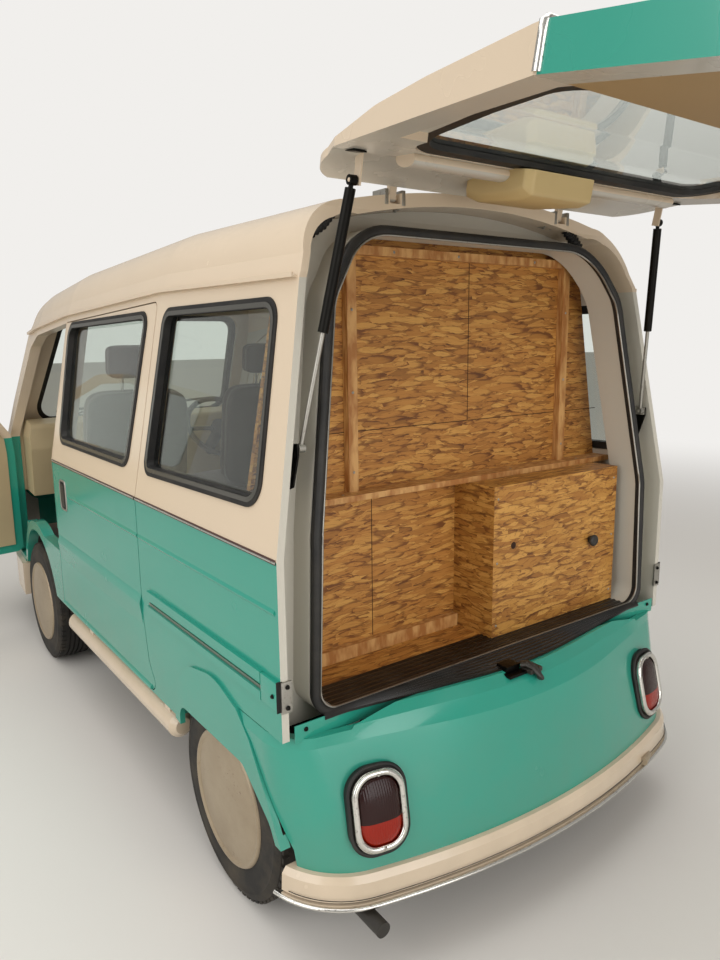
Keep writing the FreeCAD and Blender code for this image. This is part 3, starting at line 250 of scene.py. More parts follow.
# A mesh under construction, of one or more closed shapes
class Form:
    def __init__(self):
        self.verts = []
        self.faces = []

    def put(self, verts, faces):
        base = len(self.verts)
        self.verts += [Vector(v) for v in verts]
        self.faces += [[base + i for i in face] for face in faces]
        return self

    def box(self, x, y, z):
        verts = [(a, b, c) for a in x for b in y for c in z]
        faces = [(0, 1, 3, 2), (4, 6, 7, 5), (0, 4, 5, 1), (2, 3, 7, 6), (0, 2, 6, 4), (1, 5, 7, 3)]
        return self.put(verts, faces)

    # Joins rings of equal length, from one to the next, and closes the two ends or the whole round
    def skin(self, rings, closed=False):
        count = len(rings[0])
        faces = []
        for row in range(len(rings) if closed else len(rings) - 1):
            following = (row + 1) % len(rings)
            faces += [(row * count + i, row * count + (i + 1) % count, following * count + (i + 1) % count,
                       following * count + i) for i in range(count)]
        if not closed:
            faces += [tuple(range(count)), tuple(range((len(rings) - 1) * count, len(rings) * count))]
        return self.put([p for ring in rings for p in ring], faces)

    # A section (out, up) carried along a path, out being square to the path and to up
    def sweep(self, path, section, up=(0, 0, 1), closed=False, flip=1):
        path = [Vector(p) for p in path]
        rings = []
        for i, p in enumerate(path):
            before = path[i - 1] if i or closed else p
            after = path[(i + 1) % len(path)] if i + 1 < len(path) or closed else p
            along = (after - before).normalized()
            out = along.cross(Vector(up)).normalized() * flip
            lift = out.cross(along).normalized()
            if lift.dot(Vector(up)) < 0:
                lift = -lift
            rings.append([p + out * a + lift * b for a, b in section])
        return self.skin(rings, closed)

    # A closed section (along, radius) turned round an axle on Y; side is 1 on the left, -1 on the right
    def turned(self, centre, section, count, side=1):
        rings = [[(centre[0] + r * math.cos(math.tau * step / count), centre[1] + side * u,
                   centre[2] + r * math.sin(math.tau * step / count)) for u, r in section]
                 for step in range(count)]
        return self.skin(rings, closed=True)

    def both_sides(self):
        return self.put([(v.x, -v.y, v.z) for v in self.verts], list(self.faces))

    def moved(self, matrix):
        self.verts = [matrix @ v for v in self.verts]
        return self

    # The finished piece: doubles merged, faces outwards, smooth below the given angle, riding on its body
    def piece(self, name, material, body=BODY, smooth=35, bevel=0.0, slot=None):
        mesh = bpy.data.meshes.new(name)
        mesh.from_pydata(self.verts, [], self.faces)
        work = bmesh.new()
        work.from_mesh(mesh)
        bmesh.ops.remove_doubles(work, verts=work.verts, dist=MERGE_WITHIN)
        bmesh.ops.recalc_face_normals(work, faces=work.faces)
        if bevel:
            edges = [e for e in work.edges if len(e.link_faces) == 2 and e.calc_face_angle(0) > BEVEL_ABOVE]
            bmesh.ops.bevel(work, geom=edges, offset=bevel, segments=2, profile=0.7, affect="EDGES",
                            clamp_overlap=True)
        obj = shown(name, mesh, work, material)
        mesh.set_sharp_from_angle(angle=math.radians(smooth))
        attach(obj, body)
        return obj


# Pieces for both doors from shapes (form, name, finish) that are drawn on the closed left door
def on_doors(shapes, **how):
    for body, ending, place in (("door_left", "_left", DOOR_TURN), ("door_right", "_right", MIRRORED)):
        for form, name, finish in shapes:
            copy = Form().put(form.verts, form.faces).moved(place)
            copy.piece(name + ending, FINISH[finish], body, **how)


# One copy of a small part at each place, its height along the direction that goes with the place.
# The part is a low cone, such as a screw head, or a block.
def repeats(name, places, sizes, material, body=BODY, block=False):
    mesh = bpy.data.meshes.new(name + "_places")
    mesh.from_pydata([p for p, aim in places], [], [])
    mesh.attributes.new("aim", "FLOAT_VECTOR", "POINT").data.foreach_set(
        "vector", [c for p, aim in places for c in Vector(aim).normalized()])
    obj = bpy.data.objects.new(name, mesh)
    bpy.context.scene.collection.objects.link(obj)
    tree = bpy.data.node_groups.new(name, "GeometryNodeTree")
    tree.interface.new_socket("Places", in_out="INPUT", socket_type="NodeSocketGeometry")
    for label in sizes:
        tree.interface.new_socket(label, in_out="INPUT", socket_type="NodeSocketFloat")
    tree.interface.new_socket("Geometry", in_out="OUTPUT", socket_type="NodeSocketGeometry")
    source = add(tree, "NodeGroupInput")
    if block:
        size = add(tree, "ShaderNodeCombineXYZ", {i: source.outputs[label] for i, label in enumerate(sizes)})
        part = add(tree, "GeometryNodeMeshCube", {"Size": size})
    else:
        top = add(tree, "ShaderNodeMath", {0: source.outputs[1], 1: 0.55}, operation="MULTIPLY")
        part = add(tree, "GeometryNodeMeshCone", {
            "Vertices": 12, "Radius Top": top, "Radius Bottom": source.outputs[1], "Depth": source.outputs[2]})
    aim = add(tree, "GeometryNodeInputNamedAttribute", {"Name": "aim"}, data_type="FLOAT_VECTOR")
    turn = add(tree, "FunctionNodeAlignRotationToVector", {"Vector": aim}, axis="Z")
    copies = add(tree, "GeometryNodeInstanceOnPoints", {"Points": source.outputs[0], "Instance": part,
                                                        "Rotation": turn})
    real = add(tree, "GeometryNodeRealizeInstances", {0: copies})
    coloured = add(tree, "GeometryNodeSetMaterial", {"Geometry": real, "Material": material})
    add(tree, "NodeGroupOutput", {0: coloured})
    change = obj.modifiers.new("repeats", "NODES")
    change.node_group = tree
    sockets = [s for s in tree.interface.items_tree if s.in_out == "INPUT"]
    for socket in sockets[1:]:
        change[socket.identifier] = sizes[socket.name]
    bpy.context.view_layer.update()
    depsgraph = bpy.context.evaluated_depsgraph_get()
    solid = bpy.data.meshes.new_from_object(obj.evaluated_get(depsgraph), depsgraph=depsgraph)
    obj.modifiers.remove(change)
    obj.data = solid
    solid.materials.clear()
    solid.materials.append(material)
    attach(obj, body)
    return obj


# Materials

def linear(code):
    parts = [int(code[i:i + 2], 16) / 255 for i in (1, 3, 5)]
    return [p / 12.92 if p <= 0.04045 else ((p + 0.055) / 1.055) ** 2.4 for p in parts] + [1.0]


# Adds a node. Inputs go by name or number, from a value, a socket, or another node's first live output.
# A colour ramp's stops are given as a setting of (position, colour).
def add(tree, kind, inputs=None, stops=None, **settings):
    node = tree.nodes.new(kind)
    for name, value in settings.items():
        setattr(node, name, value)
    if stops:
        marks = node.color_ramp.elements
        while len(marks) < len(stops):
            marks.new(1.0)
        for mark, (place, colour) in zip(marks, stops):
            mark.position = place
            mark.color = colour
    for name, value in (inputs or {}).items():
        socket = node.inputs[name]
        if isinstance(value, bpy.types.Node):
            value = next(s for s in value.outputs if s.enabled)
        if isinstance(value, bpy.types.NodeSocket):
            tree.links.new(value, socket)
        else:
            socket.default_value = value
    return node


BLACK = (0, 0, 0, 1)
WHITE = (1, 1, 1, 1)


def new_material(name):
    mat = bpy.data.materials.new(name)
    mat.use_nodes = True
    mat.node_tree.nodes.clear()
    return mat, mat.node_tree


# Solvent paint sprayed over old panels. Soft mottling and dust low down keep large panels from looking
# flat; a faint orange peel breaks up the reflections. Waves of the peel are about 4 mm.
def paint(name, colour_of, rough=0.24, dust=0.35):
    mat, tree = new_material(name)
    coords = add(tree, "ShaderNodeTexCoord")
    place = coords.outputs["Object"]
    colour = colour_of(tree, coords)
    mottle = add(tree, "ShaderNodeTexNoise", {"Vector": place, "Scale": 2.2, "Detail": 4.0})
    mottle = add(tree, "ShaderNodeMath", {0: mottle, 1: 0.10}, operation="MULTIPLY")
    colour = add(tree, "ShaderNodeMix", {0: mottle, 6: colour, 7: linear("#70705F")}, data_type="RGBA")
    height = add(tree, "ShaderNodeSeparateXYZ", {0: place})
    low_down = add(tree, "ShaderNodeMapRange", {"Value": height.outputs[2], "From Min": 0.62, "From Max": 0.2})
    clouds = add(tree, "ShaderNodeTexNoise", {"Vector": place, "Scale": 9.0, "Detail": 5.0})
    clouds = add(tree, "ShaderNodeMath", {0: clouds, 1: dust}, operation="MULTIPLY")
    grime = add(tree, "ShaderNodeMath", {0: low_down.outputs[0], 1: clouds}, operation="MULTIPLY")
    colour = add(tree, "ShaderNodeMix", {0: grime, 6: colour, 7: linear("#7A6D5A")}, data_type="RGBA")
    wipes = add(tree, "ShaderNodeTexNoise", {"Vector": place, "Scale": 6.0, "Detail": 3.0})
    roughness = add(tree, "ShaderNodeMath", {0: wipes, 1: 0.16, 2: rough - 0.08}, operation="MULTIPLY_ADD")
    peel = add(tree, "ShaderNodeTexNoise", {"Vector": place, "Scale": 240.0, "Detail": 1.0})
    bump = add(tree, "ShaderNodeBump", {"Height": peel, "Strength": 0.03, "Distance": 0.0006})
    shader = add(tree, "ShaderNodeBsdfPrincipled", {"Base Color": colour, "Roughness": roughness,
                                                    "Coat Weight": 0.3, "Coat Roughness": 0.1,
                                                    "Normal": bump})
    add(tree, "ShaderNodeOutputMaterial", {"Surface": shader})
    return mat


def one_colour(code):
    return lambda tree, coords: linear(code)


# Limits on a face's direction: into the van, straight back, and towards the load bay on the shut gate
LOOKS_IN = -0.2
LOOKS_BACK = -0.8
LOOKS_AHEAD = 0.3


# The body is teal below the belt and cream above. Faces that look inwards are jamb grey, and so are the
# rear posts' faces that look back.
def two_tone(teal, cream, grey):
    def colour_of(tree, coords):
        place = add(tree, "ShaderNodeSeparateXYZ", {0: coords.outputs["Object"]})
        facing = add(tree, "ShaderNodeSeparateXYZ", {0: coords.outputs["Normal"]})
        above = add(tree, "ShaderNodeMath", {0: place.outputs[2], 1: BELT}, operation="GREATER_THAN")
        colour = add(tree, "ShaderNodeMix", {0: above, 6: linear(teal), 7: linear(cream)}, data_type="RGBA")
        inward = add(tree, "ShaderNodeMath", {0: facing.outputs[1], 1: place.outputs[1]}, operation="MULTIPLY")
        inward = add(tree, "ShaderNodeMath", {0: inward, 1: LOOKS_IN}, operation="LESS_THAN")
        aft = add(tree, "ShaderNodeMath", {0: facing.outputs[0], 1: LOOKS_BACK}, operation="LESS_THAN")
        post = add(tree, "ShaderNodeMath", {0: place.outputs[0], 1: POST_X}, operation="LESS_THAN")
        foot = add(tree, "ShaderNodeMath", {0: place.outputs[2], 1: POST_FOOT}, operation="GREATER_THAN")
        post = add(tree, "ShaderNodeMath", {0: post, 1: foot}, operation="MULTIPLY")
        aft = add(tree, "ShaderNodeMath", {0: aft, 1: post}, operation="MULTIPLY")
        jamb = add(tree, "ShaderNodeMath", {0: inward, 1: aft}, operation="MAXIMUM")
        return add(tree, "ShaderNodeMix", {0: jamb, 6: colour, 7: linear(grey)}, data_type="RGBA")
    return colour_of


# The gate's colours go by where a point lies when the gate is shut; its inner faces have their own
def gate_colours(teal, cream, inner):
    def colour_of(tree, coords):
        shut = add(tree, "ShaderNodeVectorRotate", {"Vector": coords.outputs["Object"], "Center": GATE_AXIS,
                                                    "Axis": (0, 1, 0), "Angle": -GATE_OPEN})
        facing = add(tree, "ShaderNodeVectorRotate", {"Vector": coords.outputs["Normal"], "Axis": (0, 1, 0),
                                                      "Angle": -GATE_OPEN})
        place = add(tree, "ShaderNodeSeparateXYZ", {0: shut})
        facing = add(tree, "ShaderNodeSeparateXYZ", {0: facing})
        above = add(tree, "ShaderNodeMath", {0: place.outputs[2], 1: BELT}, operation="GREATER_THAN")
        colour = add(tree, "ShaderNodeMix", {0: above, 6: linear(teal), 7: linear(cream)}, data_type="RGBA")
        inside = add(tree, "ShaderNodeMath", {0: facing.outputs[0], 1: LOOKS_AHEAD}, operation="GREATER_THAN")
        return add(tree, "ShaderNodeMix", {0: inside, 6: colour, 7: linear(inner)}, data_type="RGBA")
    return colour_of


# Moulded rubber: dull, and grey with dust where it is rubbed
def rubber(name, code="#121110", dust="#453F36", rough=0.6, share=0.4):
    mat, tree = new_material(name)
    place = add(tree, "ShaderNodeTexCoord").outputs["Object"]
    patches = add(tree, "ShaderNodeTexNoise", {"Vector": place, "Scale": 9.0, "Detail": 6.0, "Roughness": 0.7})
    patches = add(tree, "ShaderNodeValToRGB", {0: patches}, stops=[(0.42, BLACK), (0.75, WHITE)])
    patches = add(tree, "ShaderNodeMath", {0: patches, 1: share}, operation="MULTIPLY")
    colour = add(tree, "ShaderNodeMix", {0: patches, 6: linear(code), 7: linear(dust)}, data_type="RGBA")
    grain = add(tree, "ShaderNodeTexNoise", {"Vector": place, "Scale": 420.0, "Detail": 2.0})
    bump = add(tree, "ShaderNodeBump", {"Height": grain, "Strength": 0.15, "Distance": 0.001})
    shader = add(tree, "ShaderNodeBsdfPrincipled", {"Base Color": colour, "Roughness": rough, "Normal": bump})
    add(tree, "ShaderNodeOutputMaterial", {"Surface": shader})
    return mat


# Injection-moulded cabin plastic with a leather grain of about 2 mm: a broken, satin shine
def moulded_plastic(name, code, rough=0.5, grain=0.3, stain="#5C5244"):
    mat, tree = new_material(name)
    place = add(tree, "ShaderNodeTexCoord").outputs["Object"]
    tone = add(tree, "ShaderNodeTexNoise", {"Vector": place, "Scale": 4.0, "Detail": 3.0})
    tone = add(tree, "ShaderNodeMath", {0: tone, 1: 0.25}, operation="MULTIPLY")
    colour = add(tree, "ShaderNodeMix", {0: tone, 6: linear(code), 7: linear(stain)}, data_type="RGBA")
    cells = add(tree, "ShaderNodeTexVoronoi", {"Vector": place, "Scale": 520.0})
    bump = add(tree, "ShaderNodeBump", {"Height": cells, "Strength": grain, "Distance": 0.0004})
    shader = add(tree, "ShaderNodeBsdfPrincipled", {"Base Color": colour, "Roughness": rough, "Normal": bump})
    add(tree, "ShaderNodeOutputMaterial", {"Surface": shader})
    return mat


# Float glass with a faint green tint and a film of dust that dulls its reflections in patches
def pane_glass(name):
    mat, tree = new_material(name)
    place = add(tree, "ShaderNodeTexCoord").outputs["Object"]
    dust = add(tree, "ShaderNodeTexNoise", {"Vector": place, "Scale": 6.0, "Detail": 4.0})
    rough = add(tree, "ShaderNodeMath", {0: dust, 1: 0.012}, operation="MULTIPLY")
    shader = add(tree, "ShaderNodeBsdfPrincipled", {"Base Color": linear("#E8EFEA"), "Roughness": rough,
                                                    "IOR": 1.45, "Transmission Weight": 1.0})
    add(tree, "ShaderNodeOutputMaterial", {"Surface": shader})
    return mat


# Plated or bare bright metal: fine scratches and, where pitted, brown spots of about 3 mm
def plated(name, code="#D8D6D0", rough=0.12, pits=0.0):
    mat, tree = new_material(name)
    place = add(tree, "ShaderNodeTexCoord").outputs["Object"]
    wear = add(tree, "ShaderNodeTexNoise", {"Vector": place, "Scale": 60.0, "Detail": 5.0})
    wear = add(tree, "ShaderNodeMath", {0: wear, 1: 0.18, 2: rough}, operation="MULTIPLY_ADD")
    spots = add(tree, "ShaderNodeTexNoise", {"Vector": place, "Scale": 180.0, "Detail": 3.0})
    spots = add(tree, "ShaderNodeValToRGB", {0: spots}, stops=[(0.6, BLACK), (0.68, (pits, pits, pits, 1))])
    colour = add(tree, "ShaderNodeMix", {0: spots, 6: linear(code), 7: linear("#4A3423")}, data_type="RGBA")
    shader = add(tree, "ShaderNodeBsdfPrincipled", {"Base Color": colour, "Metallic": 1.0, "Roughness": wear})
    add(tree, "ShaderNodeOutputMaterial", {"Surface": shader})
    return mat


# Layers of strands, as (turn in degrees, share of the strand's length), and how much longer than wide one is
STRAND_LAYERS = ((0, 1.0), (24, 0.7), (-31, 0.85), (52, 0.6), (-14, 1.15), (75, 0.55), (9, 0.8), (-58, 0.65))
STRAND_SLIM = 5.5


# Oriented strand board: flat strands pressed in layers, most of them along one way, pale and dark by turns,
# with long fibres and ragged edges. Given a pine colour, battens and shelf in front of the wall show sawn
# pine instead.
def strand_board(name, code, strand, turn, pine=None):
    mat, tree = new_material(name)
    coords = add(tree, "ShaderNodeTexCoord")
    facing = add(tree, "ShaderNodeSeparateXYZ", {0: coords.outputs["Normal"]})
    point = add(tree, "ShaderNodeSeparateXYZ", {0: coords.outputs["Object"]})
    ahead = add(tree, "ShaderNodeMath", {0: facing.outputs[0]}, operation="ABSOLUTE")
    ahead = add(tree, "ShaderNodeMath", {0: ahead, 1: 0.6}, operation="GREATER_THAN")
    level = add(tree, "ShaderNodeMath", {0: facing.outputs[2]}, operation="ABSOLUTE")
    level = add(tree, "ShaderNodeMath", {0: level, 1: 0.6}, operation="GREATER_THAN")
    upright = add(tree, "ShaderNodeCombineXYZ", {0: point.outputs[1], 1: point.outputs[2]})
    lying = add(tree, "ShaderNodeCombineXYZ", {0: point.outputs[1], 1: point.outputs[0]})
    sideways = add(tree, "ShaderNodeCombineXYZ", {0: point.outputs[0], 1: point.outputs[2]})
    flat = add(tree, "ShaderNodeMix", {0: level, 4: sideways.outputs[0], 5: lying.outputs[0]},
               data_type="VECTOR")
    flat = add(tree, "ShaderNodeMix", {0: ahead, 4: flat, 5: upright.outputs[0]}, data_type="VECTOR")
    for scale, reach in ((5.0, 0.030), (110.0, 0.0035)):
        warp = add(tree, "ShaderNodeTexNoise", {"Vector": flat, "Scale": scale, "Detail": 2.0})
        shift = add(tree, "ShaderNodeVectorMath", {0: warp.outputs["Color"], 1: (0.5, 0.5, 0.5)},
                    operation="SUBTRACT")
        bend = add(tree, "ShaderNodeVectorMath", {0: shift, 3: reach}, operation="SCALE")
        flat = add(tree, "ShaderNodeVectorMath", {0: flat, 1: bend}, operation="ADD")
    best = tone = fibre = apart = None
    for layer, (angle, share) in enumerate(STRAND_LAYERS):
        length = strand * share
        turned = add(tree, "ShaderNodeMapping", {
            "Vector": flat, "Rotation": (0, 0, math.radians(angle + turn)),
            "Location": (layer * 0.37, layer * 0.71, 0), "Scale": (1 / length, STRAND_SLIM / length, 1)})
        cell = add(tree, "ShaderNodeTexVoronoi", {"Vector": turned, "Scale": 1.0}, voronoi_dimensions="2D")
        random = add(tree, "ShaderNodeSeparateColor", {0: cell.outputs["Color"]})
        stretch = add(tree, "ShaderNodeMapping", {"Vector": turned, "Scale": (0.7, 4, 1)})
        grain = add(tree, "ShaderNodeTexNoise", {"Vector": stretch, "Scale": 2.0, "Detail": 4.0})
        if best is None:
            best, tone, fibre, apart = random.outputs[0], random.outputs[1], grain, cell.outputs["Distance"]
            continue
        wins = add(tree, "ShaderNodeMath", {0: random.outputs[0], 1: best}, operation="GREATER_THAN")
        tone = add(tree, "ShaderNodeMix", {0: wins, 2: tone, 3: random.outputs[1]})
        fibre = add(tree, "ShaderNodeMix", {0: wins, 2: fibre, 3: grain})
        apart = add(tree, "ShaderNodeMix", {0: wins, 2: apart, 3: cell.outputs["Distance"]})
        best = add(tree, "ShaderNodeMath", {0: random.outputs[0], 1: best}, operation="MAXIMUM")
    strands = add(tree, "ShaderNodeValToRGB", {0: tone}, stops=[
        (0.0, linear("#8E5C24")), (0.12, linear("#A56E2E")), (0.5, linear(code)), (1.0, linear("#CB974B"))])
    lines = add(tree, "ShaderNodeValToRGB", {0: fibre}, stops=[(0.34, linear("#BCA690")), (0.46, WHITE)])
    colour = add(tree, "ShaderNodeMix", {0: 0.7, 6: strands, 7: lines}, data_type="RGBA", blend_type="MULTIPLY")
    edges = add(tree, "ShaderNodeValToRGB", {0: apart}, stops=[(0.50, WHITE), (0.72, linear("#A2896F"))])
    colour = add(tree, "ShaderNodeMix", {0: 0.9, 6: colour, 7: edges}, data_type="RGBA", blend_type="MULTIPLY")
    if pine:
        long_grain = add(tree, "ShaderNodeMapping", {"Vector": coords.outputs["Object"], "Scale": (9, 3, 1)})
        rings = add(tree, "ShaderNodeTexNoise", {"Vector": long_grain, "Scale": 14.0, "Detail": 5.0})
        wood = add(tree, "ShaderNodeValToRGB", {0: rings},
                   stops=[(0.38, linear("#A36A33")), (0.62, linear(pine))])
        proud = add(tree, "ShaderNodeMath", {0: point.outputs[0], 1: WALL_X - 0.0005}, operation="LESS_THAN")
        raised = add(tree, "ShaderNodeMath", {0: point.outputs[2], 1: SILL_BOARD_TOP}, operation="GREATER_THAN")
        solid = add(tree, "ShaderNodeMath", {0: proud, 1: raised}, operation="MULTIPLY")
        colour = add(tree, "ShaderNodeMix", {0: solid, 6: colour, 7: wood}, data_type="RGBA")
    height = add(tree, "ShaderNodeMath", {0: fibre, 1: 0.5, 2: best}, operation="MULTIPLY_ADD")
    bump = add(tree, "ShaderNodeBump", {"Height": height, "Strength": 0.35, "Distance": 0.0012})
    shader = add(tree, "ShaderNodeBsdfPrincipled", {"Base Color": colour, "Roughness": 0.55, "Normal": bump})
    add(tree, "ShaderNodeOutputMaterial", {"Surface": shader})
    return mat


# Rolled steel wheel trim in old silver-cream paint: road dust in rings, and rust specks near its edge
def wheel_trim_paint(name, code):
    mat, tree = new_material(name)
    place = add(tree, "ShaderNodeTexCoord").outputs["Object"]
    film = add(tree, "ShaderNodeTexNoise", {"Vector": place, "Scale": 7.0, "Detail": 6.0, "Roughness": 0.7})
    film = add(tree, "ShaderNodeMath", {0: film, 1: 0.75}, operation="MULTIPLY")
    colour = add(tree, "ShaderNodeMix", {0: film, 6: linear(code), 7: linear("#7F6A50")}, data_type="RGBA")
    specks = add(tree, "ShaderNodeTexNoise", {"Vector": place, "Scale": 95.0, "Detail": 8.0, "Roughness": 0.75})
    specks = add(tree, "ShaderNodeValToRGB", {0: specks}, stops=[(0.58, BLACK), (0.66, WHITE)])
    blooms = add(tree, "ShaderNodeTexNoise", {"Vector": place, "Scale": 11.0, "Detail": 4.0})
    blooms = add(tree, "ShaderNodeValToRGB", {0: blooms}, stops=[(0.48, BLACK), (0.66, WHITE)])
    rust = add(tree, "ShaderNodeMath", {0: specks, 1: blooms}, operation="MULTIPLY")
    colour = add(tree, "ShaderNodeMix", {0: rust, 6: colour, 7: linear("#4E2C16")}, data_type="RGBA")
    bump = add(tree, "ShaderNodeBump", {"Height": rust, "Strength": 0.3, "Distance": 0.001})
    shader = add(tree, "ShaderNodeBsdfPrincipled", {"Base Color": colour, "Metallic": 0.35, "Roughness": 0.42,
                                                    "Normal": bump})
    add(tree, "ShaderNodeOutputMaterial", {"Surface": shader})
    return mat


# Cast or pressed steel under the floor: black coating with rust and road dirt, quite dull
def underbody(name, code="#26231F"):
    mat, tree = new_material(name)
    place = add(tree, "ShaderNodeTexCoord").outputs["Object"]
    dirt = add(tree, "ShaderNodeTexNoise", {"Vector": place, "Scale": 7.0, "Detail": 6.0})
    dirt = add(tree, "ShaderNodeValToRGB", {0: dirt}, stops=[(0.4, BLACK), (0.7, (0.6, 0.6, 0.6, 1))])
    colour = add(tree, "ShaderNodeMix", {0: dirt, 6: linear(code), 7: linear("#5A4632")}, data_type="RGBA")
    crust = add(tree, "ShaderNodeTexNoise", {"Vector": place, "Scale": 90.0, "Detail": 5.0})
    bump = add(tree, "ShaderNodeBump", {"Height": crust, "Strength": 0.25, "Distance": 0.002})
    shader = add(tree, "ShaderNodeBsdfPrincipled", {"Base Color": colour, "Roughness": 0.75, "Normal": bump})
    add(tree, "ShaderNodeOutputMaterial", {"Surface": shader})
    return mat


# Acrylic lamp lens with 6 mm ribs behind a glossy face: near black above, lit red below the split
def lamp_plastic(name, above_code, below_code, split):
    mat, tree = new_material(name)
    place = add(tree, "ShaderNodeTexCoord").outputs["Object"]
    parts = add(tree, "ShaderNodeSeparateXYZ", {0: place})
    above = add(tree, "ShaderNodeMath", {0: parts.outputs[2], 1: split}, operation="GREATER_THAN")
    colour = add(tree, "ShaderNodeMix", {0: above, 6: linear(below_code), 7: linear(above_code)},
                 data_type="RGBA")
    ribs = add(tree, "ShaderNodeTexWave", {"Vector": place, "Scale": 52.0}, bands_direction="Y")
    bump = add(tree, "ShaderNodeBump", {"Height": ribs, "Strength": 0.4, "Distance": 0.001})
    shader = add(tree, "ShaderNodeBsdfPrincipled", {"Base Color": colour, "Roughness": 0.2,
                                                    "Specular IOR Level": 0.35, "Normal": bump})
    add(tree, "ShaderNodeOutputMaterial", {"Surface": shader})
    return mat


# Woven seat cloth with 3 mm ribs, drawn coarser than its yarn so that it shows; a soft sheen
def seat_cloth(name, code, rib="#3C3129"):
    mat, tree = new_material(name)
    place = add(tree, "ShaderNodeTexCoord").outputs["Object"]
    ribs = add(tree, "ShaderNodeTexWave", {"Vector": place, "Scale": 105.0, "Distortion": 0.4},
               bands_direction="Y")
    fuzz = add(tree, "ShaderNodeTexNoise", {"Vector": place, "Scale": 500.0, "Detail": 2.0})
    wear = add(tree, "ShaderNodeTexNoise", {"Vector": place, "Scale": 5.0, "Detail": 3.0})
    mixed = add(tree, "ShaderNodeMath", {0: ribs, 1: wear}, operation="MULTIPLY")
    colour = add(tree, "ShaderNodeMix", {0: mixed, 6: linear(rib), 7: linear(code)}, data_type="RGBA")
    height = add(tree, "ShaderNodeMath", {0: ribs, 1: fuzz}, operation="ADD")
    bump = add(tree, "ShaderNodeBump", {"Height": height, "Strength": 0.4, "Distance": 0.001})
    shader = add(tree, "ShaderNodeBsdfPrincipled", {"Base Color": colour, "Roughness": 0.92,
                                                    "Sheen Weight": 0.3, "Normal": bump})
    add(tree, "ShaderNodeOutputMaterial", {"Surface": shader})
    return mat


# The materials by the name of their finish, made by the first operator
FINISH = {}


# Gives carried-over CAD nodes a finish
def assign(finish, *nodes):
    for name in nodes:
        obj = frame["nodes"][name]
        obj.data.materials.clear()
        obj.data.materials.append(FINISH[finish])


class VAN_OT_finishes(bpy.types.Operator):
    """Makes the materials and gives every carried-over CAD piece its finish, the exhaust a black one that
    stands for shade
    """
    bl_idname = "van.finishes"
    bl_label = "Finishes"

    def execute(self, context):
        choice = context.scene.van_paint
        FINISH.update({
            "cream": paint("cream_coachwork_paint", one_colour(choice.cream)),
            "grey": paint("grey_jamb_paint", one_colour(choice.grey), 0.4),
            "teal": paint("teal_coachwork_paint", one_colour(choice.teal)),
            "two_tone": paint("two_tone_coachwork", two_tone(choice.teal, choice.cream, choice.grey)),
            "gate": paint("tailgate_coachwork", gate_colours(choice.teal, choice.cream, "#C4BEB2"), 0.26, 0.0),
            "black": moulded_plastic("black_moulded_plastic", "#1B1A18"),
            "beige": moulded_plastic("beige_cabin_plastic", "#B9A680"),
            "lining": moulded_plastic("ribbed_lining_plastic", "#A5875C", 0.6, 0.2, "#6B5030"),
            "cover": moulded_plastic("ivory_cover_plastic", "#CDB27C", 0.45, 0.15),
            "glass": pane_glass("float_glass"),
            "wall": strand_board("oriented_strand_board", choice.board, choice.strand, 0, "#CC9C60"),
            "cabinet": strand_board("upright_strand_board", "#B58038", choice.strand, 82),
            "seal": rubber("door_seal_rubber"),
            "wet": rubber("ribbed_sill_rubber", "#0E0D0C", "#3A332B", 0.28, 0.5),
            "tread": rubber("tyre_rubber", "#1B1916", "#544A3B", 0.75, 0.6),
            "steel": underbody("coated_underbody_steel"),
            "chrome": plated("chrome_plate", pits=0.5),
            "bright": plated("zinc_plated_steel", "#A9A69E", 0.34, 0.3),
            "mirror": plated("mirror_glass", "#E4E6E6", 0.02),
            "enamel": plated("black_strut_enamel", "#22211F", 0.35),
            "lens": lamp_plastic("ribbed_lamp_acrylic", "#240503", "#8E1C08", LAMP_SPLIT),
            "amber": lamp_plastic("amber_lamp_acrylic", "#B4560E", "#B4560E", 0.0),
            "caps": wheel_trim_paint("steel_wheel_trim", "#B3A48C"),
            "cloth": seat_cloth("ribbed_seat_cloth", "#6A5847"),
            # Painted shade: a near-black finish that stands for the shade in grooves, gaps and recesses
            "line": rubber("painted_gap_shade", "#0B0A09", "#1E1A15", 0.8, 0.3),
            "inlay": rubber("perished_belt_rubber", "#3A1712", "#5A3A2C", 0.5, 0.5),
            "border": moulded_plastic("smoked_glass_border", "#4E4D48", 0.2, 0.0, "#3A3935"),
            "joint": rubber("shadowed_board_joint", "#2E1909", "#4A2A10", 0.9, 0.5),
        })
        assign("cream", "roof", "front_bumper", "rear_bumper", "side_tubes")
        assign("two_tone", "side_panel_left", "side_panel_right", "sliding_door_left", "sliding_door_right",
               "front_door_left", "front_door_right", "nose_panel", "front_frame")
        assign("gate", "tailgate")
        assign("teal", "rear_panel")
        assign("grey", "rear_frame")
        assign("seal", "rear_seal", "window_seals", "tailgate_seal", "tail_lamp_gaskets")
        assign("glass", "windscreen", "side_glass", "tailgate_glass", "front_door_left_glass",
               "front_door_right_glass", "headlamp_lenses")
        assign("wall", "load_boards")
        assign("cabinet", "load_cabinet")
        assign("steel", "floor_pan", "front_axle", "rear_axle", "knuckle_left", "knuckle_right",
               "fuel_tank", "engine_block", "seat_bases")
        assign("beige", "dashboard", "front_door_left_trim", "front_door_right_trim")
        assign("lining", "tailgate_lining")
        # The exhaust takes the black plastic so that it goes as dark as the shade under the bumper: painted
        # shade
        assign("black", "steering_wheel", "steering_column", "mirror_left", "mirror_right", "exhaust")
        assign("chrome", "lamp_rims")
        assign("bright", "strut_rod_left", "strut_rod_right")
        assign("enamel", "strut_tube_left", "strut_tube_right")
        assign("lens", "tail_lamp_lenses")
        assign("tread", *["tyre_" + corner for corner in CORNERS])
        assign("caps", *["wheel_" + corner for corner in CORNERS])
        assign("cloth", "seat_cushions", "seat_backs")
        return {"FINISHED"}


# Pieces

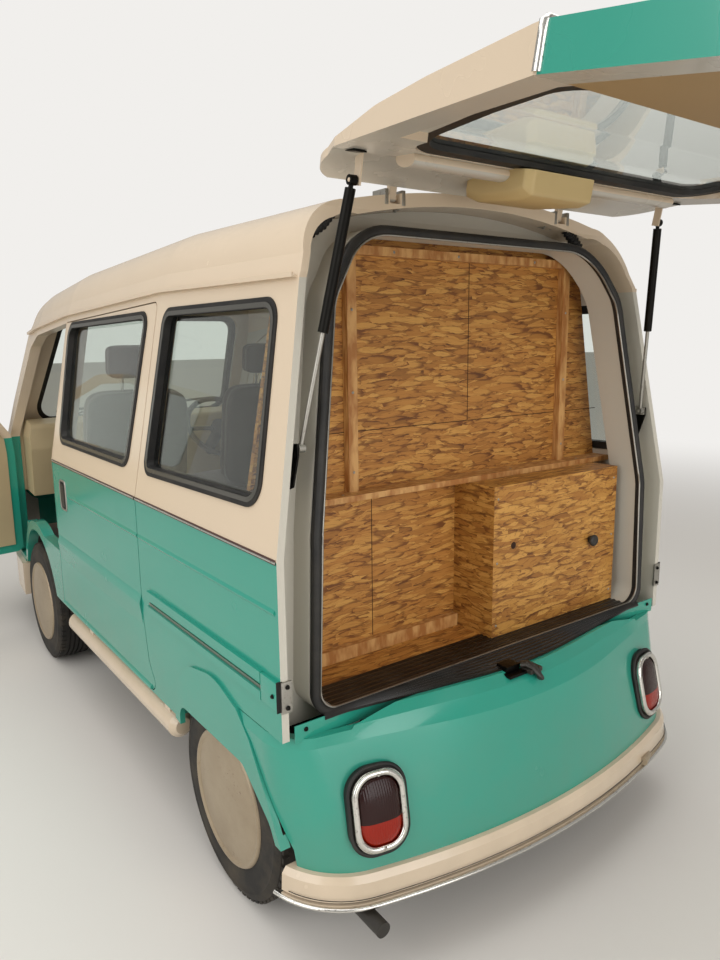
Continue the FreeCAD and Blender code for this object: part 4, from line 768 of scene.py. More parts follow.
class VAN_OT_tyres(bpy.types.Operator):
    """Tyres with rounded walls, four grooves and shoulder blocks, in place of the plain ones"""
    bl_idname = "van.tyres"
    bl_label = "Tyres"

    def execute(self, context):
        trim = context.scene.van_trim
        wall = [(0.0660, 0.1606), (0.0725, 0.1630), (0.0752, 0.1700), (0.0742, 0.1760), (0.0760, 0.1900),
                (0.0768, 0.2060), (0.0762, 0.2200), (0.0738, 0.2360), (0.0752, 0.2400), (0.0722, 0.2500),
                (0.0660, 0.2590), (0.0560, 0.2630), (0.0480, 0.2640)]
        crown = [(0.0460, 0.2680), (0.0330, 0.2682), (0.0322, 0.2620), (0.0268, 0.2620), (0.0260, 0.2684),
                 (0.0130, 0.2685), (0.0122, 0.2620), (0.0068, 0.2620), (0.0060, 0.2685)]
        half = wall + crown
        section = half + [(-u, r) for u, r in half[::-1]]
        shoulder_radius, shoulder_out = 0.2634, 0.0545
        for corner in CORNERS:
            node, body = "tyre_" + corner, "wheel_" + corner
            centre = centre_of(node)
            tyre = Form().turned(centre, section, trim.steps).piece(
                node + "_detailed", FINISH["tread"], body, smooth=28)
            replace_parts(tyre, node)
            blocks = []
            for side in (1, -1):
                for step in range(trim.tread):
                    angle = math.tau * (step + 0.25 * side) / trim.tread
                    aim = Vector((math.cos(angle), 0, math.sin(angle)))
                    blocks.append((centre + aim * shoulder_radius + Vector((0, side * shoulder_out, 0)), aim))
            repeats("tread_blocks_" + corner, blocks, {"Round": 0.0165, "Across": 0.0185, "Deep": 0.0080},
                    FINISH["tread"], body, block=True)
        return {"FINISHED"}


class VAN_OT_wheel_trims(bpy.types.Operator):
    """Domed wheel trims with a rolled edge over the wheels"""
    bl_idname = "van.wheel_trims"
    bl_label = "Wheel trims"

    def execute(self, context):
        face = [(0.0, 0.0005), (0.0, 0.030), (-0.0008, 0.066), (-0.0022, 0.100), (-0.0046, 0.130),
                (-0.0072, 0.150), (-0.0092, 0.1600), (-0.0088, 0.1645), (-0.0050, 0.1680), (-0.0040, 0.1715),
                (-0.0054, 0.1755), (-0.0095, 0.1785), (-0.0150, 0.1790), (-0.0165, 0.1700), (-0.0175, 0.150),
                (-0.0165, 0.100), (-0.0150, 0.0005)]
        standing_out, steps = 0.004, 72
        for corner in CORNERS:
            node = "wheel_" + corner
            side = 1 if corner.endswith("left") else -1
            centre = centre_of(node)
            outer = high(node).y if side > 0 else -low(node).y
            form = Form().turned((centre.x, side * (outer + standing_out), centre.z), face, steps, side)
            form.piece("wheel_trim_" + corner, FINISH["caps"], node, smooth=50)
        return {"FINISHED"}


class VAN_OT_belt(bpy.types.Operator):
    """Chrome belt strips with a dark inlay, pressed swage lines and the sill lip along both sides"""
    bl_idname = "van.belt"
    bl_label = "Belt strips and swages"

    def execute(self, context):
        half = context.scene.van_trim.belt_high / 2
        strip = [(0, -half * 0.5), (0.0036, -half * 0.42), (0.0046, -half * 0.15), (0.0046, half * 0.15),
                 (0.0036, half * 0.42), (0, half * 0.5)]
        inlay = [(0, -half), (0.0024, -half * 0.9), (0.0024, half * 0.9), (0, half)]
        swage = [(0, -0.0075), (0.0014, -0.0040), (0.0034, -0.0008), (0.0030, 0.0010), (0, 0.0080)]
        waist = [(0, -0.070), (0.0030, -0.036), (0.0070, -0.006), (0.0068, -0.001), (0, 0.026)]
        lip = [(0, 0), (0.0052, 0.0008), (0.0056, 0.005), (0.0030, 0.011), (0, 0.014)]
        runs = ((-1.2620, -0.4365), (-0.4275, 0.5010))
        chrome, dark, pressed = Form(), Form(), Form()
        for start, end in runs:
            path = [(start, HALF_W, BELT), (end, HALF_W, BELT)]
            chrome.sweep(path, strip, flip=-1)
            dark.sweep(path, inlay, flip=-1)
        waist_z, lip_z = 0.652, 0.388
        for start, end, z, section in ((-1.2500, -0.4365, SWAGE_Z, swage), (-0.4275, 0.300, SWAGE_Z, swage),
                                       (-0.4275, 0.490, waist_z, waist), (-0.470, 0.500, lip_z, lip)):
            pressed.sweep([(start, HALF_W, z), (end, HALF_W, z)], section, flip=-1)
        chrome.both_sides().piece("belt_strip", FINISH["chrome"], slot="chrome")
        dark.both_sides().piece("belt_inlay", FINISH["inlay"], slot="rubber")
        pressed.both_sides().piece("pressed_swages", FINISH["teal"], slot="teal_paint", smooth=60)
        door_start, door_long, steps = 0.516, 0.926, 12
        places = [door_start + door_long * i / steps for i in range(steps + 1)]
        line, crease = [[(x, side_y(x, z), z) for x in places] for z in (BELT, SWAGE_Z)]
        on_doors([(Form().sweep(line, strip, flip=-1), "door_belt_strip", "chrome"),
                  (Form().sweep(line, inlay, flip=-1), "door_belt_inlay", "inlay"),
                  (Form().sweep(crease, swage, flip=-1), "door_swage", "teal")])
        return {"FINISHED"}


class VAN_OT_window_edges(bpy.types.Operator):
    """Flat glass borders that lap over the rubber of the side windows"""
    bl_idname = "van.window_edges"
    bl_label = "Window edges"

    def execute(self, context):
        lap = [(-0.0058, 0.0), (0.0058, 0.0), (0.0058, 0.0014), (-0.0058, 0.0014)]
        rubber_width, standing_out = 0.0168, 0.0042
        form = Form()
        for window in SIDE_WINDOWS:
            line = rounded(inset(window, rubber_width))
            path = [(p.x, side_y(p.x, p.y) + standing_out, p.y) for p in line]
            form.sweep(path, lap, up=(0, 1, 0), closed=True)
        form.both_sides().piece("window_glass_borders", FINISH["border"], smooth=60)
        return {"FINISHED"}


class VAN_OT_slide_rails(bpy.types.Operator):
    """Liner of the sliding door's rail, its end cover with a bolt, and the hinge plate on the rear post"""
    bl_idname = "van.slide_rails"
    bl_label = "Slide rails"

    def execute(self, context):
        bright, dark, cover, plate = Form(), Form(), Form(), Form()
        rail, groove = (-1.189, -0.502), HALF_W - 0.0021
        bright.box(rail, (groove, HALF_W + 0.0035), (0.6662, 0.6740))
        # The dark boxes are painted shade: one in the rail's groove above the liner, one at the end cover's
        # rear edge
        dark.box(rail, (groove, HALF_W - 0.0006), (0.6741, 0.6858))
        cover.box((-1.2635, -1.1905), (HALF_W - 0.001, HALF_W + 0.0095), (0.646, 0.711))
        dark.box((-1.2650, -1.2625), (HALF_W - 0.004, HALF_W + 0.0100), (0.643, 0.714))
        plate.box((-1.2700, -1.2640), (0.672, HALF_W + 0.001), (0.640, 0.712))
        bright.both_sides().piece("rail_liner", FINISH["bright"], slot="bright_steel")
        dark.both_sides().piece("rail_shadow", FINISH["line"], slot="rubber")
        cover.both_sides().piece("rail_end_cover", FINISH["teal"], slot="teal_paint", bevel=0.003)
        plate.both_sides().piece("post_hinge_plate", FINISH["bright"], slot="bright_steel", bevel=0.0012)
        cover_face, plate_face = HALF_W + 0.0100, -1.2715
        bolts = []
        for side in (1, -1):
            bolts.append(((-1.246, side * cover_face, 0.676), (0, side, 0)))
            bolts += [((plate_face, side * 0.684, z), (-1, 0, 0)) for z in (0.700, 0.652)]
        repeats("rail_bolts", bolts, {"Head radius": 0.0055, "Head height": 0.0045}, FINISH["enamel"])
        return {"FINISHED"}


class VAN_OT_handles(bpy.types.Operator):
    """Handles of the sliding and front doors, outside and inside, with window cranks"""
    bl_idname = "van.handles"
    bl_label = "Door handles"

    def execute(self, context):
        frame_line = rounded(((0.338, 0.800, 0.016), (0.412, 0.800, 0.016), (0.412, 0.912, 0.016),
                              (0.338, 0.912, 0.016)), 5)
        ring = Form().sweep([(p.x, HALF_W, p.y) for p in frame_line], circle(0.0042, 8), up=(0, 1, 0),
                            closed=True)
        flap = Form().box((0.350, 0.396), (HALF_W - 0.001, HALF_W + 0.006), (0.812, 0.900))
        # The cup behind the flap is painted shade: a near-black box for the shade in the handle's recess
        recess_shade = Form().box((0.340, 0.410), (HALF_W - 0.001, HALF_W + 0.0014), (0.802, 0.910))
        ring.both_sides().piece("slide_handle_frame", FINISH["bright"], smooth=60)
        recess_shade.both_sides().piece("slide_handle_recess_shade", FINISH["line"], bevel=0.0005)
        flap.both_sides().piece("slide_handle_flap", FINISH["black"], bevel=0.004)
        skin = side_y(0.62, 0.83)
        outside = Form().box((0.560, 0.680), (skin - 0.002, skin + 0.010), (0.812, 0.852))
        outside.box((0.572, 0.664), (skin + 0.009, skin + 0.019), (0.822, 0.840))
        trim = side_y(0.9, 0.8) - 0.053
        inside = Form().box((0.640, 0.860), (trim - 0.028, trim + 0.001), (0.700, 0.722))
        crank = [(0.760, y, 0.800) for y in (trim, trim - 0.022, trim - 0.026)]
        inside.sweep(crank, circle(0.013, 12), up=(1, 0, 0))
        inside.box((0.752, 0.768), (trim - 0.027, trim - 0.019), (0.735, 0.806))
        inside.box((1.080, 1.160), (trim - 0.014, trim + 0.001), (0.820, 0.850))
        on_doors([(outside, "outer_handle", "black"), (inside, "inner_handle", "black")], bevel=0.003)
        return {"FINISHED"}


class VAN_OT_opening(bpy.types.Operator):
    """Bulb seal and bright edge round the rear opening, ribbed sill strip, latch and panel flanges"""
    bl_idname = "van.opening"
    bl_label = "Rear opening"

    def execute(self, context):
        trim = context.scene.van_trim
        outline = rounded(REAR_HOLE)
        middle = Vector((0.0, 1.13))

        # The opening's edge, moved out from its middle and forwards
        def ring(out, ahead):
            points = []
            for p in outline:
                away = (p - middle).normalized() * out
                points.append((rear_x(p.y) + ahead, p.x + away.x, p.y + away.y))
            return points
        lip, forwards = 0.0065, (1, 0, 0)
        bulb, base = circle(trim.bulb, 14, across=1.15), circle(0.0085, 10, up=1.2)
        seal = Form().sweep(ring(lip, 0.0085), bulb, up=forwards, closed=True)
        seal.sweep(ring(lip, 0.0180), base, up=forwards, closed=True)
        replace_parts(seal.piece("opening_seal", FINISH["seal"], slot="rubber", smooth=60), "rear_seal")
        Form().sweep(ring(-lip, 0.006), circle(0.0028, 6), up=forwards, closed=True).piece(
            "opening_edge", FINISH["bright"], slot="bright_steel", smooth=60)
        self.sill(trim)
        self.latch()
        return {"FINISHED"}

    # A ribbed mat covers the sill inside the opening, and a shelf of it reaches back to the rear panel
    def sill(self, trim):
        edge = sorted((p.y, p.x) for p in rounded(PANEL_TOP, 24) if p.x < -1.1)
        mat_back, shelf_front, margin = -1.264, -1.262, 0.010
        mat_top, mat_foot, rib_high = 0.6072, 0.594, 0.0016
        form, rows, steps = Form(), trim.ribs * 6, 40
        for half, front, fall, back_at in (
                (0.552, -1.156, 0.001, lambda y: mat_back),
                (0.590, shelf_front, 0.010, lambda y: min(between(edge, y) + margin, shelf_front - margin))):
            rings = []
            for i in range(steps + 1):
                y = half * (2 * i / steps - 1)
                back = back_at(y)
                tops = [(front + (back - front) * s / rows, mat_top - fall * (s / rows) ** 2
                         + rib_high * math.cos(math.tau * trim.ribs * s / rows)) for s in range(rows + 1)]
                rings.append([(x, y, z) for x, z in tops] + [(back, y, mat_foot), (front, y, mat_foot)])
            form.skin(rings)
        form.piece("ribbed_sill_strip", FINISH["wet"], slot="rubber", smooth=50)

    # Striker bracket and its hook, with the rear panel's upper flanges and their screws beside them
    def latch(self):
        bracket = Form().box((-1.352, -1.316), (0.044, 0.092), (0.588, 0.607))
        bracket.box((-1.372, -1.346), (0.030, 0.100), (0.584, 0.592))
        bracket.piece("latch_bracket", FINISH["enamel"], bevel=0.002)
        hook = [(-1.350, 0.040, 0.603), (-1.362, 0.030, 0.606), (-1.378, 0.022, 0.600), (-1.390, 0.016, 0.586),
                (-1.392, 0.010, 0.572)]
        Form().sweep(hook, circle(0.010, 10, across=1.5, up=0.8)).box(
            (-1.386, -1.346), (-0.004, 0.040), (0.585, 0.597)).piece("latch_hook", FINISH["black"], bevel=0.002)
        flanges = Form()
        for side in (1, -1):
            flanges.box((-1.2692, -1.2662), span(side, 0.330, 0.668), (0.560, 0.602))
        flanges.piece("panel_flanges", FINISH["teal"], slot="teal_paint", bevel=0.0012)
        screws = [((-1.2702, side * 0.640, 0.588), (-1, 0, 0)) for side in (1, -1)]
        repeats("flange_screws", screws, {"Head radius": 0.0058, "Head height": 0.004}, FINISH["enamel"])


# A point on a tail lamp: across and up on its face, and out from the panel
def on_lamp(across, up, out, side):
    turn = Matrix.Rotation(-side * LAMP_YAW, 3, "Z") @ Matrix.Rotation(LAMP_LEAN, 3, "Y")
    place = turn @ Vector((-out, across, up))
    return place + Vector((LAMP_AT[0], side * LAMP_AT[1], LAMP_AT[2]))


class VAN_OT_tail_lamps(bpy.types.Operator):
    """Domed lenses, rounded chrome rings, gasket lips and their screws"""
    bl_idname = "van.tail_lamps"
    bl_label = "Tail lamps"

    def execute(self, context):
        outline = rounded(LAMP_OVAL)
        lenses, rings, lips = Form(), Form(), Form()
        screws = []
        screw_up, screw_out = 0.0815, 0.0275
        # Rows of the dome and the two rims, as (share of the oval across, share of it upwards, out)
        dome = ((0.768, 0.828, -0.004), (0.768, 0.828, 0.020), (0.70, 0.76, 0.0245), (0.52, 0.58, 0.0285),
                (0.28, 0.34, 0.0308), (0.04, 0.04, 0.0315))
        ring, lip = (0.885, 0.915, 0.0225), (1.075, 1.075, 0.0105)
        for side in (1, -1):
            def row(across, up, out):
                return [on_lamp(p.x * across, p.y * up, out, side) for p in outline]
            lenses.skin([row(*place) for place in dome])
            rings.sweep(row(*ring), circle(0.0078, 12, up=0.75), up=(1, 0, 0), closed=True)
            lips.sweep(row(*lip), circle(0.0050, 8), up=(1, 0, 0), closed=True)
            aim = on_lamp(0, 0, 1, side) - on_lamp(0, 0, 0, side)
            screws += [(on_lamp(0, up, screw_out, side), aim) for up in (screw_up, -screw_up)]
        piece = lenses.piece("tail_lamp_domes", FINISH["lens"], slot="lamp_red", smooth=60)
        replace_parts(piece, "tail_lamp_lenses")
        rings.piece("tail_lamp_rings", FINISH["chrome"], slot="chrome", smooth=60)
        lips.piece("tail_lamp_gasket_lips", FINISH["seal"], slot="rubber", smooth=60)
        repeats("tail_lamp_screws", screws, {"Head radius": 0.0046, "Head height": 0.004}, FINISH["bright"])
        return {"FINISHED"}


class VAN_OT_bumpers(bpy.types.Operator):
    """Bright strip, thin dark lines of painted groove shade along the rear bumper, and the dent in its edge"""
    bl_idname = "van.bumpers"
    bl_label = "Bumper strips"

    def execute(self, context):
        # The panel's foot line moved out by a distance, behind last_x and at a height
        def along(out, last_x, z):
            line = []
            for x, y, *radius in PANEL_FOOT:
                moved_x = x - out if radius else x
                moved_y = y + math.copysign(out, y) if y else 0.0
                line.append((moved_x, moved_y, *[r + out for r in radius]))
            return [(p.x, p.y, z) for p in rounded(line, 14) if p.x < last_x]
        bead_end, groove_end = -1.225, -1.262
        Form().sweep(along(0.0255, bead_end, 0.1935), circle(0.0062, 10, up=0.8)).piece(
            "rear_bumper_bead", FINISH["chrome"], slot="chrome", smooth=60)
        # Two thin near-black tubes are painted shade, standing for the grooves along the bumper
        dark = Form().sweep(along(0.0155, groove_end, 0.204), circle(0.0022, 6))
        dark.sweep(along(0.0243, groove_end, 0.2135), circle(0.0009, 6))
        dark.piece("rear_bumper_groove_shade", FINISH["line"], slot="rubber")
        dent = [(-1.443, -0.395, 0.212), (-1.433, -0.422, 0.210), (-1.421, -0.447, 0.208)]
        Form().sweep(dent, circle(0.012, 12)).piece("rear_bumper_dent", FINISH["caps"], smooth=60)
        return {"FINISHED"}


class VAN_OT_gate(bpy.types.Operator):
    """Chrome strip over the teal band, header fold, strut brackets, motor cover, pull and lining clips"""
    bl_idname = "van.gate"
    bl_label = "Tailgate details"

    def execute(self, context):
        edge, corner = HALF_W - 0.001, HALF_W - 0.004
        left = [(-1.274, edge), (-1.300, edge), (GATE_OUTER_X + 0.001, edge), (GATE_OUTER_X, corner)]
        right = [(x, -y) for x, y in left[::-1]]
        path = [(x, y, BELT) for x, y in left + [(GATE_OUTER_X, 0.0)] + right]
        self.put(Form().sweep(path, circle(0.0075, 10, up=0.9)), "gate_band_strip", "chrome", smooth=60)
        header = [(GATE_INNER_X, y, 1.527) for y in (-0.44, -0.43, 0.0, 0.43, 0.44)]
        self.put(Form().sweep(header, circle(0.030, 18, across=0.55)), "gate_header_fold", "gate", smooth=60)
        brackets = Form()
        for side in (1, -1):
            brackets.box((GATE_INNER_X - 0.004, GATE_INNER_X), span(side, 0.520, 0.550), (1.545, 1.600))
        self.put(brackets, "strut_top_brackets", "enamel", bevel=0.0015)
        # The cover's profile as (x, z, and which way each goes where the ends draw in)
        profile = ((-1.222, 1.640, 0, -1), (-1.160, 1.640, -1, -1), (-1.150, 1.600, -1, -1),
                   (-1.160, 1.470, -1, 1), (-1.172, 1.440, -1, 1), (-1.222, 1.440, 0, 1))
        rows = [[(x + along * drawn, y, z + up * drawn) for x, z, along, up in profile]
                for y, drawn in ((-0.046, 0.012), (-0.034, 0.0), (0.160, 0.0), (0.176, 0.014))]
        self.put(Form().skin(rows), "gate_motor_cover", "cover", bevel=0.006, smooth=60)
        root, bow, pull_long, steps = GATE_OUTER_X + 0.0005, 0.012, 0.11, 8
        pull = [(root - bow * math.sin(math.pi * i / steps), pull_long * (i / steps - 0.5), 0.640)
                for i in range(steps + 1)]
        self.put(Form().sweep(pull, circle(0.006, 10)), "gate_pull", "chrome", smooth=60)
        lining_x = -1.2845
        clips = [(lining_x, side * y, z) for side in (1, -1) for y in (0.30, 0.58) for z in (0.668, 0.940)]
        moved = [(GATE_TURN @ Vector(p), GATE_TURN.to_3x3() @ Vector((1, 0, 0))) for p in clips]
        repeats("lining_clips", moved, {"Head radius": 0.006, "Head height": 0.003}, FINISH["black"],
                "tailgate")
        return {"FINISHED"}

    def put(self, form, name, finish, bevel=0.0, smooth=35):
        form.moved(GATE_TURN).piece(name, FINISH[finish], "tailgate", bevel=bevel, smooth=smooth)


class VAN_OT_hinges(bpy.types.Operator):
    """Gate hinge plates, corrugated cable boots and the struts' lower brackets"""
    bl_idname = "van.hinges"
    bl_label = "Hinges and boots"

    def execute(self, context):
        plates, bolts = Form(), []
        for side in (1, -1):
            y, thick = side * 0.294, 0.010
            for offset in (-0.030, 0.020):
                plates.box((-1.160, -1.112), (y + offset, y + offset + thick), (1.732, 1.766))
            plates.box((-1.134, -1.106), (y - 0.038, y + 0.038), (1.7280, 1.7345))
            bolts += [((-1.120, y + s, 1.7272), (0, 0, -1)) for s in (-0.030, 0.0, 0.030)]
        plates.piece("gate_hinge_plates", FINISH["bright"], slot="bright_steel", bevel=0.0012)
        repeats("gate_hinge_bolts", bolts, {"Head radius": 0.006, "Head height": 0.004}, FINISH["bright"])
        # A boot's radius swings once in four rings for its folds, and is widest at the middle
        boots, steps = Form(), 24
        for start, end in (((-1.150, 0.520, 1.655), (-1.142, 0.462, 1.700)),
                           ((-1.150, -0.385, 1.680), (-1.142, -0.330, 1.722))):
            start, end = Vector(start), Vector(end)
            along = (end - start).normalized()
            out = along.cross(Vector((1, 0, 0))).normalized()
            lift = along.cross(out)
            rings = []
            for i in range(steps + 1):
                radius = 0.0135 + 0.0022 * math.cos(i * math.pi / 2) - 0.004 * abs(2 * i / steps - 1)
                rings.append([start.lerp(end, i / steps) + out * a + lift * b for a, b in circle(radius, 14)])
            boots.skin(rings)
        boots.piece("cable_boots", FINISH["seal"], slot="rubber", smooth=70)
        lower = Form()
        outline = [(-1.238, 1.214), (-1.238, 1.190), (-1.214, 1.118), (-1.200, 1.112), (-1.186, 1.130),
                   (-1.180, 1.214)]
        for side in (1, -1):
            lower.skin([[(x, side * y, z) for x, z in outline] for y in (0.6182, 0.6232)])
        lower.piece("strut_foot_brackets", FINISH["enamel"], bevel=0.001)
        return {"FINISHED"}


class VAN_OT_boards(bpy.types.Operator):
    """Joints, screws, knob and knot of the boarded load bay"""
    bl_idname = "van.boards"
    bl_label = "Board details"

    def execute(self, context):
        # Joints between boards: one row above the shelf line, and two upright ones
        seam, joints = (1.199, 1.201), Form()
        for y, z in (((-0.061, -0.059), (1.201, 1.630)), ((-0.432, -0.061), seam), ((-0.059, 0.338), seam),
                     ((0.281, 0.283), (0.643, 1.034)), ((-0.640, -0.460), seam), ((0.366, 0.610), seam)):
            joints.box((WALL_X - 0.0006, WALL_X + 0.001), y, z)
        joints.piece("board_joints", FINISH["joint"], slot="board")
        knob = [(0.0, 0.0005), (0.0, 0.009), (0.004, 0.010), (0.012, 0.016), (0.016, 0.018), (0.021, 0.016),
                (0.023, 0.010), (0.023, 0.0005)]
        knot = [(0.0, 0.0005), (0.0012, 0.0005), (0.0012, 0.0085), (0.0, 0.010)]
        backwards = Matrix.Rotation(math.radians(90), 4, "Z")
        Form().turned((0, 0, 0), knob, 32).moved(
            Matrix.Translation((CABINET_X + 0.0005, -0.432, 0.821)) @ backwards).piece(
            "cabinet_knob", FINISH["black"], smooth=50)
        Form().turned((0, 0, 0), knot, 20).moved(
            Matrix.Translation((CABINET_X, -0.094, 0.861)) @ backwards).piece(
            "board_knot", FINISH["joint"], slot="board", smooth=50)
        back, up = (-1, 0, 0), (0, 0, 1)
        batten_x, header_z, shelf = WALL_X - 0.0224, 1.641, (WALL_X - 0.0404, 1.0504)
        screws = [((CABINET_X - 0.0004, y, z), back) for y in (-0.540, -0.030) for z in (0.64, 0.82, 1.00)]
        screws += [((batten_x, y, z), back) for y in (0.352, -0.446) for z in (1.10, 1.30, 1.50)]
        screws += [((batten_x, y, header_z), back) for y in (-0.30, 0.0, 0.22)]
        screws += [((shelf[0], y, shelf[1]), up) for y in (-0.5, -0.2, 0.1, 0.4, 0.6)]
        repeats("board_screws", screws, {"Head radius": 0.0038, "Head height": 0.0016}, FINISH["bright"])
        return {"FINISHED"}


class VAN_OT_seats(bpy.types.Operator):
    """Two padded seats with crowned cushions, backs and headrests"""
    bl_idname = "van.seats"
    bl_label = "Seats"

    # A pad between two corners: a block with rounded edges, whose two broad faces swell and carry a stitched
    # channel on each side, and whose narrow sides draw in along a seam. Leans by an angle in degrees.
    def pad(self, name, x, y, z, lean, swell, node=None):
        centre = Vector([(a + b) / 2 for a, b in (x, y, z)])
        half = Vector([(b - a) / 2 for a, b in (x, y, z)])
        thin = min(range(3), key=lambda i: half[i])
        others = [i for i in range(3) if i != thin]
        tilt = Matrix.Rotation(math.radians(lean), 3, "Y")
        cuts, roundness, on_face = 12, 7.0, 0.9
        seam_deep, seam_wide = 0.004, 0.16
        channel_deep, channel_wide, channel_at = 0.007, 0.05, 0.62
        work = bmesh.new()
        bmesh.ops.create_cube(work, size=2.0)
        bmesh.ops.subdivide_edges(work, edges=work.edges, cuts=cuts, use_grid_fill=True)
        for v in work.verts:
            c = v.co.copy()
            length = sum(abs(k) ** roundness for k in c) ** (1 / roundness)
            place = Vector([c[i] / length * half[i] for i in range(3)])
            seam = seam_deep * math.exp(-(c[thin] / seam_wide) ** 2)
            for i in others:
                if abs(c[i]) > on_face:
                    place[i] -= math.copysign(seam, c[i])
            if abs(c[thin]) > on_face:
                crown = swell * (1 - abs(c[others[0]]) ** 4) * (1 - abs(c[others[1]]) ** 4)
                channel = channel_deep * math.exp(-((abs(c.y) - channel_at) / channel_wide) ** 2)
                place[thin] += math.copysign(crown, c[thin]) - math.copysign(channel, c[thin])
            v.co = centre + tilt @ place
        bmesh.ops.recalc_face_normals(work, faces=work.faces)
        obj = shown(name, bpy.data.meshes.new(name), work, FINISH["cloth"])
        soft = obj.modifiers.new("soft", "SUBSURF")
        soft.levels = soft.render_levels = 1
        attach(obj, BODY)
        if node:
            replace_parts(obj, node)

    def execute(self, context):
        posts, middle = Form(), 0.315
        for side, name in ((1, "left"), (-1, "right")):
            self.pad("seat_cushion_" + name, (0.612, 1.062), span(side, 0.085, 0.545), (0.644, 0.758),
                     -2, 0.010, "seat_cushions")
            self.pad("seat_back_" + name, (0.545, 0.655), span(side, 0.097, 0.533), (0.752, 1.232),
                     -10, 0.010, "seat_backs")
            self.pad("seat_headrest_" + name, (0.518, 0.588), span(side, 0.195, 0.435), (1.284, 1.416),
                     -8, 0.008)
            for offset in (-0.06, 0.06):
                y = side * middle + offset
                posts.sweep([(0.566, y, 1.205), (0.552, y, 1.300)], circle(0.006, 10), up=(0, 1, 0))
        posts.piece("headrest_posts", FINISH["chrome"], slot="chrome", smooth=60)
        return {"FINISHED"}


class VAN_OT_front(bpy.types.Operator):
    """Headlamp bowls and rings, indicators, wipers and mirror glass"""
    bl_idname = "van.front"
    bl_label = "Front details"

    def execute(self, context):
        bowl, ring, amber = Form(), Form(), Form()
        section = [(-0.072, 0.0005), (-0.070, 0.030), (-0.058, 0.055), (-0.030, 0.074), (-0.0285, 0.0740),
                   (-0.0560, 0.0560), (-0.0680, 0.0300), (-0.0690, 0.0005)]
        bead = [(0.0145 + a, 0.0935 + b) for a, b in circle(0.0075, 12)]
        dome = [(0.0, 0.0005), (0.030, 0.0005), (0.029, 0.014), (0.024, 0.024), (0.014, 0.031), (0.0, 0.034)]
        lamp_x, indicator_yaw = high("lamp_rims").x - 0.014, 0.5
        ahead = Matrix.Rotation(math.radians(-90), 4, "Z")
        for side in (1, -1):
            lamp = Matrix.Translation((lamp_x, side * 0.455, 0.690)) @ ahead
            corner = Matrix.Translation((1.838, side * 0.560, 0.560)) @ Matrix.Rotation(
                side * indicator_yaw, 4, "Z") @ ahead
            for form, shape, count, place in ((bowl, section, 48, lamp), (ring, bead, 48, lamp),
                                              (amber, dome, 32, corner)):
                part = Form().turned((0, 0, 0), shape, count).moved(place)
                form.put(part.verts, part.faces)
        bowl.piece("headlamp_bowls", FINISH["mirror"], slot="chrome", smooth=60)
        ring.piece("headlamp_beads", FINISH["chrome"], slot="chrome", smooth=60)
        amber.piece("front_indicators", FINISH["amber"], slot="lamp_red", smooth=50)
        wipers = Form()
        blade = [(-0.0035, -0.006), (0.0035, -0.006), (0.0035, 0.006), (-0.0035, 0.006)]
        bow, half_blade = Vector((0.012, 0, 0.010)), Vector((-0.010, -0.20, 0.014))
        for y in (0.44, 0.02):
            pivot, tip = Vector((1.575, y, 0.985)), Vector((1.481, y - 0.22, 1.096))
            wipers.sweep([pivot, pivot.lerp(tip, 0.5) + bow, tip], circle(0.004, 8))
            wipers.sweep([tip + half_blade * s for s in (-1, -0.5, 0, 0.5, 1)], blade)
        wipers.piece("wipers", FINISH["black"], smooth=50)
        glass = rounded(((0.719, 1.074, 0.026), (0.836, 1.074, 0.034), (0.836, 1.201, 0.044),
                         (0.719, 1.201, 0.030)), 6)
        pane = Form().skin([[(x, p.x, p.y) for p in glass] for x in (1.3150, 1.3172)])
        on_doors([(pane, "mirror_glass", "mirror")], slot="chrome")
        return {"FINISHED"}


# Stage

BACKDROP = "#F1EFEC"


